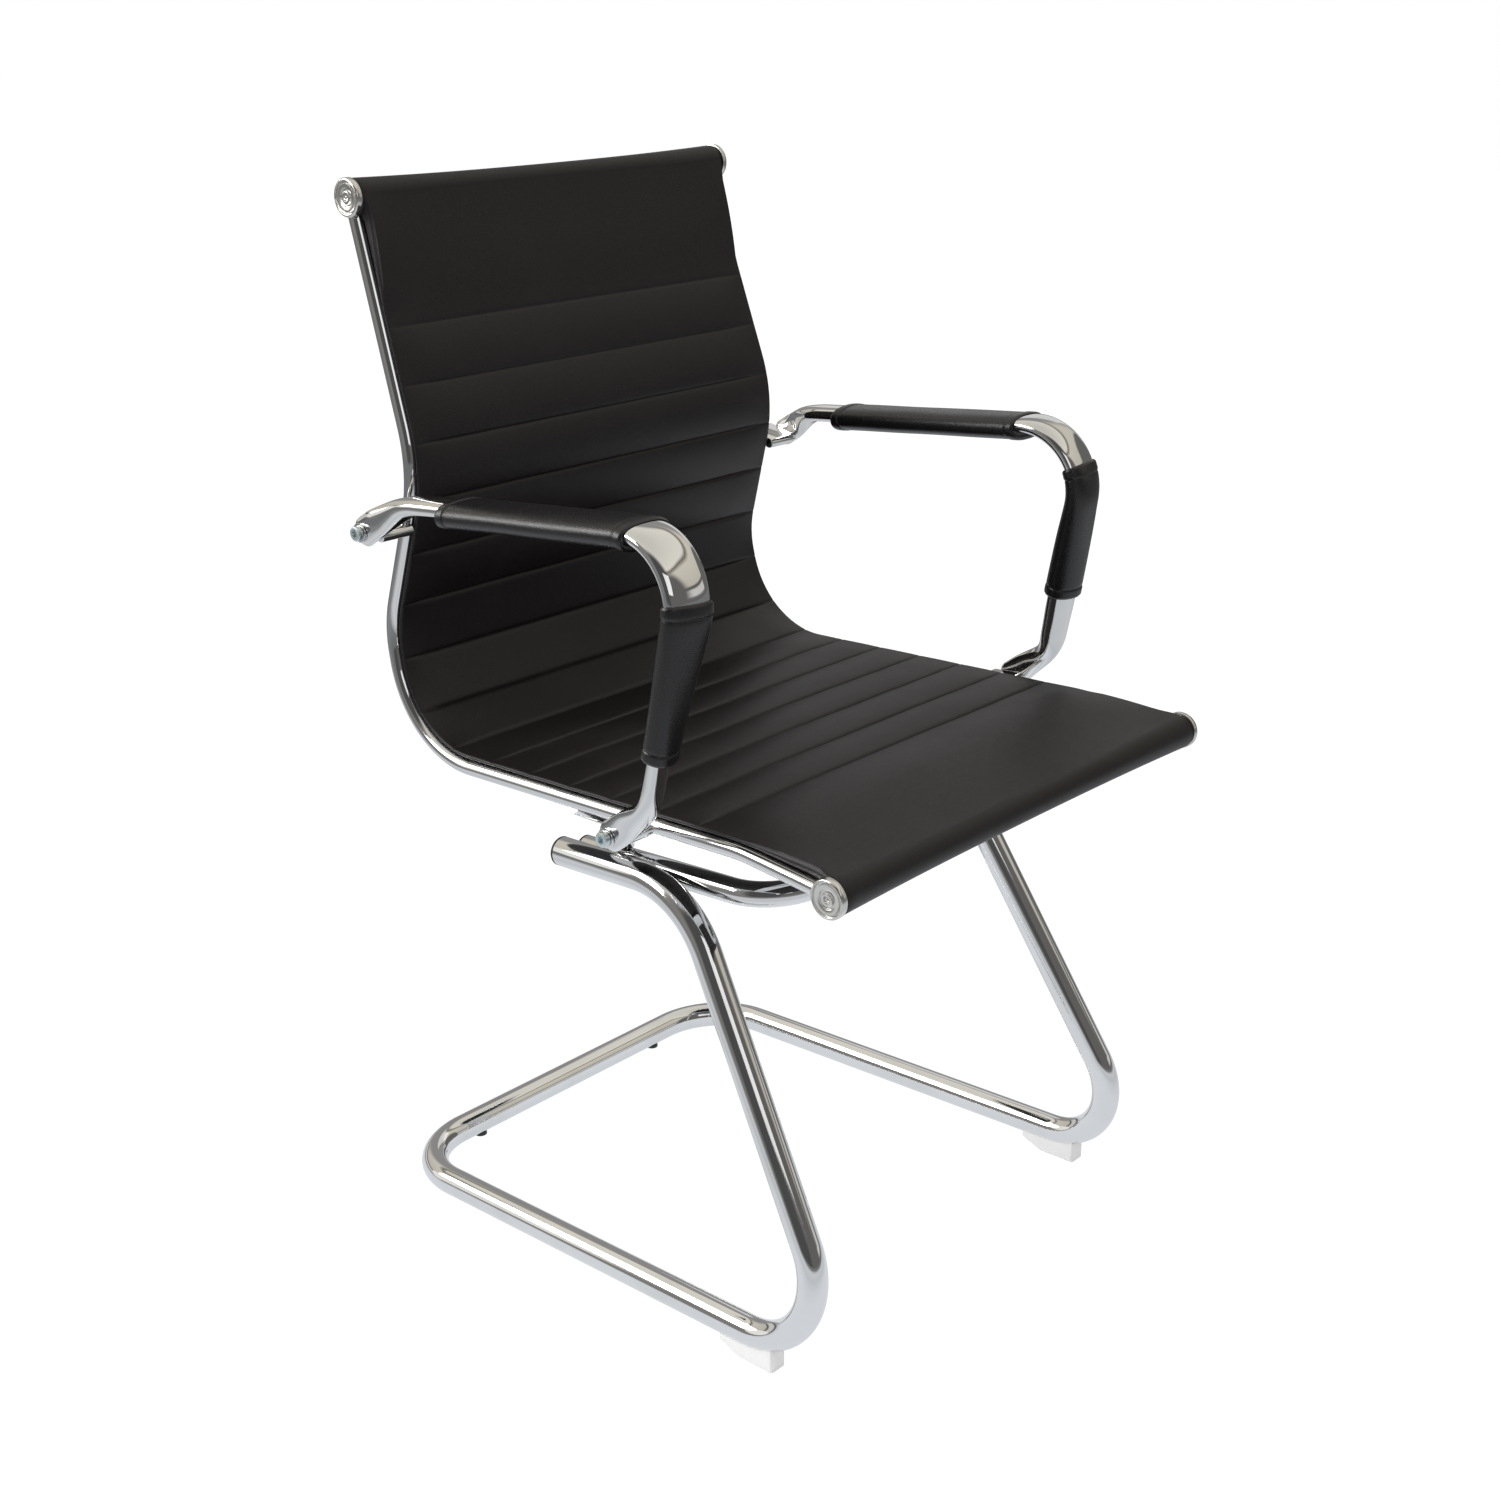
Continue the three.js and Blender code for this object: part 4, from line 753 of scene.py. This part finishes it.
def crease(bm, seed, amount, stretch):  # shallow folds in a wrapped cover
    bmesh.ops.recalc_face_normals(bm, faces=bm.faces)
    bm.normal_update()
    for vert in bm.verts:
        place = Vector((vert.co.x * stretch[0], vert.co.y * stretch[1], vert.co.z * stretch[2] + seed))
        vert.co += vert.normal * amount * noise.noise(place)


stub = {"width": 34, "thick": 10, "tilt": 18, "sink": 1, "round": 1.2}
backBar = {"width": 24, "thick": 10, "set": 7, "bow": 20, "ramp": 60.8, "bend": 90, "inset": 2, "round": 1}
for side, sign in sides:
    lift, slip = (sleeve["raise"], 0) if side == "left" else (0, pad["slip"])
    addPiece(f"armTube_{side}", armTube(), chrome, [f"arm_tube_{side}"], sharp=60, mirrorX=sign < 0)
    bm = wrappedCover(padStart + slip, padEnd + slip, padGrown, pad["hem"], pad["hemStep"])
    crease(bm, pad["seed"] * sign, *pad["folds"])
    cover = addPiece(f"armPad_{side}", bm, armLeather, [f"arm_pad_{side}"], sharp=180, mirrorX=sign < 0)
    start, end = sleeveSpan(lift)
    bm = wrappedCover(start, end, lambda along, rise: sleeveGrown(along, rise, start, end), sleeve["hem"],
                      sleeve["hemStep"])
    crease(bm, sleeve["seed"] * sign, *sleeve["folds"])
    cover = addPiece(f"armSleeve_{side}", bm, armLeather, [f"arm_sleeve_{side}"], sharp=180,
                     mirrorX=sign < 0)
    for end, bolt, railHalf, tilt in (("upper", upperBolt, upperRailHalf, stub["tilt"]),
                                      ("lower", lowerBolt, lowerRailHalf, 0)):
        inner = Vector((railHalf + rail["tube"] / 2 - stub["sink"], bolt.y, bolt.z))
        outer = Vector((bolt.x - arm["endThick"] / 2 - fitGap, bolt.y, bolt.z))
        wide = (0, math.cos(math.radians(tilt)), math.sin(math.radians(tilt)))
        stubRing = flatRing(stub["width"], stub["thick"])
        bm = bentBar([inner, outer], [], stubRing, wide=wide, endRound=stub["round"])
        addPiece(f"{end}Stub_{side}", bm, chrome, [f"{end}_stub_{side}"], mirrorX=sign < 0)
        seat = bolt.x + arm["endThick"] / 2 + fitGap
        profile = wallProfile(armBolt["shank"] / 2 + fitGap, armBolt["washer"] / 2, 0,
                              armBolt["washerThick"])
        bm = turned(profile, (seat, bolt.y, bolt.z), (1, 0, 0), 48, round=0.3)
        addPiece(f"{end}Washer_{side}", bm, chrome, [f"{end}_washer_{side}"], mirrorX=sign < 0)
        under = Vector((seat + armBolt["washerThick"] + fitGap, bolt.y, bolt.z))
        tip = under.x - (bolt.x - arm["endThick"] / 2 - fitGap - armBolt["bite"])
        bm = socketBolt(armBolt, under, tip, (1, 0, 0))
        addPiece(f"{end}ArmBolt_{side}", bm, blueZinc, [f"{end}_arm_bolt_{side}"], mirrorX=sign < 0)

backSlope = Vector((0, rail["lumbarY"] - rail["hipY"], rail["lumbar"] - rail["hip"])).normalized()
backRear = Vector((0, backSlope.z, -backSlope.y))
barEndX = upperRailHalf - rail["tube"] / 2 + backBar["inset"]
barEnd = Vector((barEndX, backRailY(upperZ), upperZ)) + backRear * backBar["set"]
barKink = Vector((upperRailHalf - backBar["ramp"], barEnd.y, barEnd.z)) + backRear * backBar["bow"]
barLine = acrossToo([(-spot.x, spot.y, spot.z) for spot in (barEnd, barKink)])
backRing = flatRing(backBar["width"], backBar["thick"])
bm = bentBar(barLine, [backBar["bend"]] * 2, backRing, backSlope, 2, backBar["round"])
addPiece("backBar", bm, chrome, ["back_spreader"])
print("arms made")

sling = {"face": 11, "back": 1, "overRail": 2.2, "tuck": 3.2, "edge": 1.6, "fade": 42, "ribPitch": 47.1,
         "firstSeam": 106, "seams": 15, "ribCrown": 3.2, "ribBack": 1.4, "power": 0.72, "sink": 1.2,
         "edgeSink": 0.3, "seamWidth": 1.2, "faintSeams": (0.25, 0.4, 0.6, 0.8), "topCrown": 3.4,
         "frontCrown": 6.5, "blendFront": 92, "blendBack": 24, "pucker": 0.56, "puckerReach": 7,
         "wave": 0.5, "rollWall": 3.2, "rollDip": 2.7, "rollProud": 0.4, "rollPower": 2.4, "rollBack": 2,
         "rollMouth": ((0, 1.2), (0.5, 0.2)), "rollEnd": 1.6, "rollStep": 8, "railShare": 0.97,
         "foldNoise": (0.09, 0.02, 4), "broadNoise": (0.013, 0.016, 9), "stations": 1200}
rollRadius = cross["tube"] / 2 + fitGap + sling["rollWall"]


def rollAt(x, half):  # pulled tight, the leather lies closer to the tube between the caps
    slack = 1 - min(abs(x) / half, 1) ** sling["rollPower"]
    return rollRadius + sling["rollProud"] - sling["rollDip"] * slack


# The skin is the length of leather walked along the face, matched to places along the rail.
railLine = BentLine(profileShortBy(0), railRadii)
skins, alongs, lastFace = [], [], None
for i in range(sling["stations"] + 1):
    alongs.append(railLine.length * i / sling["stations"])
    point, tangent = railLine.at(alongs[-1])
    face = point + Vector((0, tangent.z, -tangent.y)).normalized() * sling["face"]
    skins.append(skins[-1] + (face - lastFace).length if lastFace else 0.0)
    lastFace = face


def alongAtSkin(value):
    i = min(bisect.bisect_right(skins, value), len(skins) - 1)
    return lerp(alongs[i - 1], alongs[i], (value - skins[i - 1]) / (skins[i] - skins[i - 1]))


# Rows of the sling: place on the skin, share of the way over its rib, and how high that rib is.
def rowsOver(start, end, shares, crown):
    return [(lerp(start, end, share), share, crown) for share in shares]


seams = [sling["firstSeam"] + i * sling["ribPitch"] for i in range(sling["seams"])]
ribShares = [0, 0.012, 0.028, 0.05, 0.09, 0.16, 0.28, 0.42, 0.58, 0.72, 0.84, 0.91, 0.95, 0.972, 0.988]
topShares = [0, 0.04, 0.08, 0.13, 0.2, 0.28, 0.36, 0.45, 0.55, 0.65, 0.75, 0.84, 0.91, 0.95, 0.975, 0.99]
slingRows = rowsOver(0, seams[0], topShares, sling["topCrown"])
for a, b in zip(seams, seams[1:]):
    slingRows += rowsOver(a, b, ribShares, sling["ribCrown"])
frontShares = [1 - share for share in reversed(topShares)]
slingRows += rowsOver(seams[-1], skins[-1], frontShares, sling["frontCrown"])

faceSpots = [1.6, 3.2, 5.5, 8, 11, 14, 18, 23, 29, 36, 44, 54, 68, 86, 106, 130, 158]  # in from the edge
backSpots = [10, 30, 70, 120, 175]  # the same behind, in from the groove round the rail
grooveShares = (0.12, 0.25, 0.38, 0.5, 0.62, 0.75, 0.88, 1.0)  # round the rail, outside to inside


def noiseAt(x, skinAt, across, down, seed):
    return noise.noise(Vector((x * across, skinAt * down, seed)))


def ringSpots(row):
    skinAt, share, crown = row
    along = alongAtSkin(skinAt)
    point, tangent = railLine.at(along)
    up = Vector((0, tangent.z, -tangent.y)).normalized()
    railX, clear = point.x, rail["tube"] / 2 + fitGap
    puff = max(math.sin(math.pi * min(max(share, 0), 1)), 0) ** sling["power"] * crown
    seamGap, nearest = min((abs(skinAt - seam), i) for i, seam in enumerate(seams))
    strength = sling["faintSeams"][nearest] if nearest < len(sling["faintSeams"]) else 1.0
    sink = sling["sink"] * strength * math.exp(-(seamGap / sling["seamWidth"]) ** 2)
    middle, edgeFace, half = sling["face"] + puff, sling["face"], railX + sling["overRail"]
    back = sling["back"] - (sling["ribBack"] * min(puff / sling["ribCrown"], 1))
    nearSum, rolls = 0.0, []
    for (name, y, z), distance in zip(crossTubes, (along, railLine.length - along)):
        offset = (Vector((0, y, z)) - Vector((0, point.y, point.z))).dot(up)
        nearFace = max(1 - distance / sling["blendFront"], 0)
        nearBack = 1 - smoothStep(distance, 0, sling["blendBack"])
        rolls.append((offset, nearFace))
        edgeFace = lerp(edgeFace, offset + rollRadius, nearFace)
        back = lerp(back, offset - rollRadius + sling["rollBack"], nearBack)
        half = lerp(half, railHalfAt(z) + rail["tube"] / 2, nearBack)
        nearSum += nearFace

    def faceHeight(x):
        ramp = min(max((half - abs(x)) / sling["fade"], 0), 1)
        ramp = ramp * (2 - ramp)
        height = lerp(edgeFace, middle, ramp) - sink * lerp(sling["edgeSink"], 1, ramp)
        for offset, nearFace in rolls:
            height = lerp(height, offset + rollAt(x, half), nearFace)
        fold = noiseAt(x, skinAt, *sling["foldNoise"]) * math.exp(-(seamGap / sling["puckerReach"]) ** 2)
        broad = noiseAt(x, skinAt, *sling["broadNoise"]) * sling["wave"]
        return height + (sling["pucker"] * fold + broad) * ramp * (1 - min(nearSum, 1))

    edge, foot = sling["edge"], half - sling["tuck"]
    reach = min(foot - railX, clear * sling["railShare"])  # the wall's foot, out from the rail's middle
    wallFoot = math.sqrt(max(clear ** 2 - reach ** 2, 0))
    top = edgeFace - sink * sling["edgeSink"]
    wall = [(foot, wallFoot), (lerp(foot, half, 0.75), lerp(wallFoot, top - edge, 0.5)), (half, top - edge)]
    wall += [(half - edge * (1 - math.cos(a)), top - edge * (1 - math.sin(a))) for a in (0.5, 1.05)]
    inward = [half - spot for spot in faceSpots if half - spot > 0] + [0.0]
    outer = math.atan2(reach, math.sqrt(clear ** 2 - reach ** 2))
    inner = -math.acos(min(max(max(back, -clear) / clear, -1), 1))
    turns = [lerp(outer, inner, share) for share in grooveShares]
    groove = [(railX + clear * math.sin(turn), clear * math.cos(turn)) for turn in turns]
    backAcross = [groove[-1][0] - spot for spot in backSpots]
    spots = wall + [(x, faceHeight(x)) for x in inward + [-x for x in reversed(inward[:-1])]]
    spots += [(-x, height) for x, height in wall[::-1] + groove]
    spots += [(x, back) for x in [-x for x in backAcross] + [0.0] + backAcross[::-1]] + groove[::-1]
    return [Vector((x, point.y, point.z)) + up * height for x, height in spots]


def slingMesh():
    rings = [ringSpots(row) for row in slingRows]
    count = len(rings[0])
    bm = bmesh.new()
    bmesh.ops.create_grid(bm, x_segments=count, y_segments=len(rings) - 1, size=1)
    columns = sorted({round(vert.co.x, 5) for vert in bm.verts})
    rows = sorted({round(vert.co.y, 5) for vert in bm.verts})
    columnAt = {value: i for i, value in enumerate(columns)}
    rowAt = {value: i for i, value in enumerate(rows)}
    for vert in bm.verts:
        vert.co = rings[rowAt[round(vert.co.y, 5)]][columnAt[round(vert.co.x, 5)] % count]
    bmesh.ops.remove_doubles(bm, verts=bm.verts, dist=1e-4)
    closeHoles(bm)
    bmesh.ops.recalc_face_normals(bm, faces=bm.faces)
    return bm


def rollMesh(y, z):
    half = railHalfAt(z) + rail["tube"] / 2
    end = half - sling["rollEnd"]
    mouth = [(cross["tube"] / 2 + fitGap, half)]
    mouth += [(rollRadius - drop, half - inset) for inset, drop in sling["rollMouth"]]
    profile = mouth + [(rollAt(x, half), x) for x in spread(-end, end, sling["rollStep"])[::-1]]
    profile += [(radius, -x) for radius, x in reversed(mouth)] + mouth[:1]
    return turned(profile, (0, y, z), (1, 0, 0), 72)


bm = slingMesh()
for name, y, z in crossTubes:
    mesh = meshFrom(rollMesh(y, z), "roll")
    bm.from_mesh(mesh)
    bpy.data.meshes.remove(mesh)
slingPiece = addPiece("slingCover", bm, leatherette, ["sling"], sharp=60)
print("sling made")


feet = {"bevel": 0.0007, "corner": 0.0028, "glideBevel": 0.0004}  # in metres, as the CAD solids are


def fromNode(node, bevel, segments=3, corner=0.0):  # a merged copy of a CAD solid with its edges softened
    bm = bmesh.new()
    bm.from_mesh(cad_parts[node].data)
    bmesh.ops.remove_doubles(bm, verts=bm.verts, dist=1e-6)
    bmesh.ops.dissolve_limit(bm, angle_limit=math.radians(1), verts=bm.verts, edges=bm.edges)
    if corner:
        upright = [edge for edge in bm.edges
                   if abs((edge.verts[0].co - edge.verts[1].co).normalized().z) > 0.9]
        least = max(edge.calc_length() for edge in upright) / 4
        softenEdges(bm, corner, 25, 5, lambda edge: edge in upright and edge.calc_length() > least, False)
    softenEdges(bm, bevel, 40, segments)
    return bm


for side, sign in sides:
    bm = fromNode(f"front_foot_{side}", feet["bevel"], 3, feet["corner"])
    addPiece(f"frontFoot_{side}", bm, whiteFoot, [f"front_foot_{side}"], inPlace=True)
    bm = fromNode(f"rear_glide_{side}", feet["glideBevel"], 2)
    addPiece(f"rearGlide_{side}", bm, blackPlug, [f"rear_glide_{side}"], inPlace=True)
print("feet made")

view = {"place": (-1225.16, -892.54, 995.54), "azimuth": -46.356, "elevation": 18.578, "roll": -2.821,
        "lens": 49.42, "sensor": 36}
azimuth, elevation, roll = (math.radians(view[key]) for key in ("azimuth", "elevation", "roll"))
ahead = math.cos(elevation)
look = Vector((-math.sin(azimuth) * ahead, math.cos(azimuth) * ahead, -math.sin(elevation)))
levelRight = look.cross(Vector((0, 0, 1))).normalized()
levelUp = levelRight.cross(look)
right = levelRight * math.cos(roll) + levelUp * math.sin(roll)
upwards = levelUp * math.cos(roll) - levelRight * math.sin(roll)
turnOnly = Matrix.Rotation(-leanAngle, 3, "X")
cameraData = bpy.data.cameras.new("photoCamera")
cameraData.lens, cameraData.sensor_width, cameraData.sensor_fit = view["lens"], view["sensor"], "HORIZONTAL"
camera = placeObject("photoCamera", cameraData)
axes = turnOnly @ Matrix((right, upwards, -look)).transposed()
camera.matrix_world = Matrix.Translation(chairPlace @ Vector(view["place"])) @ axes.to_4x4()
bpy.context.scene.camera = camera

studio = {"diffuse": 0.80, "floorKeep": 0.10, "floorGlow": 1.09, "floorReach": 2.6, "floorSize": 12,
          "paper": {"Base Color": (0.9, 0.9, 0.9, 1), "Roughness": 0.9, "Specular IOR Level": 0.0},
          "floorSeen": ((0.0, (0.80, 0.83, 0.865)), (0.16, (0.74, 0.77, 0.81)),
                        (0.27, (0.56, 0.585, 0.62)), (0.42, (0.64, 0.66, 0.68)),
                        (0.60, (0.50, 0.51, 0.52)), (0.85, (0.13, 0.135, 0.14))),
          "levels": ((0.0, (0.14, 0.14, 0.14)), (0.03, (0.18, 0.18, 0.18)), (0.06, (0.66, 0.65, 0.63)),
                     (0.17, (0.64, 0.62, 0.58)), (0.20, (0.10, 0.10, 0.10)), (0.23, (0.12, 0.12, 0.11)),
                     (0.26, (0.57, 0.54, 0.47)), (0.60, (0.68, 0.64, 0.55)), (0.66, (0.16, 0.145, 0.12)),
                     (0.70, (0.82, 0.79, 0.71)), (1.0, (0.66, 0.64, 0.58))),
          "panels": (((-0.93, 0.30, 0.12), 0.62, 0.90, (0.24, 0.23, 0.22)),
                     ((-0.74, -0.58, 0.34), 0.66, 0.86, (0.08, 0.08, 0.08)),
                     ((-0.05, -0.99, 0.12), 0.80, 0.90, (0.14, 0.135, 0.13)),
                     ((0.98, -0.15, 0.12), 0.93, 0.945, (0.14, 0.14, 0.13)),
                     ((0.69, 0.65, 0.32), 0.84, 0.95, (0.30, 0.295, 0.29)),
                     ((-0.55, 0.80, 0.24), 0.972, 0.98, (0.92, 0.90, 0.85)))}


def studioWorld():  # mirrors see a soft room, everything else sees plain white
    world = bpy.data.worlds.new("studio")
    bpy.context.scene.world = world
    world.use_nodes = True
    shader = Shader(world.node_tree)
    direction = shader.coords("Generated")
    height = shader.add("ShaderNodeSeparateXYZ", {}, {"Vector": direction}, "Z")
    room = shader.ramp(height, studio["levels"])
    for towards, outer, inner, colour in studio["panels"]:
        facing = shader.add("ShaderNodeVectorMath", {"operation": "DOT_PRODUCT"},
                            {0: direction, 1: towards}, "Value")
        room = shader.blendColour(shader.between(facing, outer, inner), room, colour)
    isCamera, isGlossy, isThrough = shader.rays()
    plain = (studio["diffuse"],) * 3
    seen = shader.blendColour(isGlossy, plain, room)
    seen = shader.blendColour(isCamera.atLeast(isThrough), seen, (1.0, 1.0, 1.0))
    shader.output(shader.add("ShaderNodeBackground", {}, {"Color": seen}), "ShaderNodeOutputWorld")


def groundPlane():
    bm = bmesh.new()
    bmesh.ops.create_grid(bm, x_segments=2, y_segments=2, size=studio["floorSize"])
    mesh = meshFrom(bm, "ground")
    ground = placeObject("ground", mesh)
    material, shader = newMaterial("groundWhite")
    isCamera, isGlossy, isThrough = shader.rays()
    shown = isCamera.atLeast(isGlossy).atLeast(isThrough)
    paper = shader.surface(studio["paper"])
    bright = (studio["floorGlow"],) * 3
    away = shader.add("ShaderNodeVectorMath", {"operation": "LENGTH"}, {0: shader.coords()}, "Value")
    mirrored = shader.ramp(away / studio["floorReach"], studio["floorSeen"])
    glow = shader.add("ShaderNodeEmission", {}, {"Color": shader.blendColour(isGlossy, bright, mirrored)})
    factor = shown * (1 - studio["floorKeep"])
    upper = shader.add("ShaderNodeMixShader", {}, {"Fac": factor, 1: paper, 2: glow})
    fromBelow = shader.add("ShaderNodeNewGeometry", output="Backfacing")
    clear = shader.add("ShaderNodeBsdfTransparent")
    shader.output(shader.add("ShaderNodeMixShader", {}, {"Fac": fromBelow, 1: upper, 2: clear}))
    mesh.materials.append(material)


lamps = {
    "above": {"place": (-2.1, 1.9, 2.1), "aim": (0, 0, 0.6), "size": (2.2, 1.5), "power": 66},
    "front": {"place": (-1.2, -2.2, 1.7), "aim": (0, 0, 0.5), "size": (1.2, 1.2), "power": 4},
    "back": {"place": (1.75, 1.0, 1.25), "aim": (0, 0, 0.5), "size": (1.2, 0.7), "power": 1.1},
}


def addLamp(name, setting):
    lamp = bpy.data.lights.new(name, "AREA")
    lamp.shape, lamp.size, lamp.size_y = "RECTANGLE", *setting["size"]
    lamp.energy = setting["power"]
    holder = placeObject(name, lamp)
    place = Vector(setting["place"])
    direction = place - Vector(setting["aim"])
    holder.matrix_world = Matrix.Translation(place) @ direction.to_track_quat("Z", "Y").to_matrix().to_4x4()


studioWorld()
groundPlane()
for name, setting in lamps.items():
    addLamp(name, setting)
bpy.context.scene.view_settings.view_transform = "Standard"
print("camera, light and ground made")
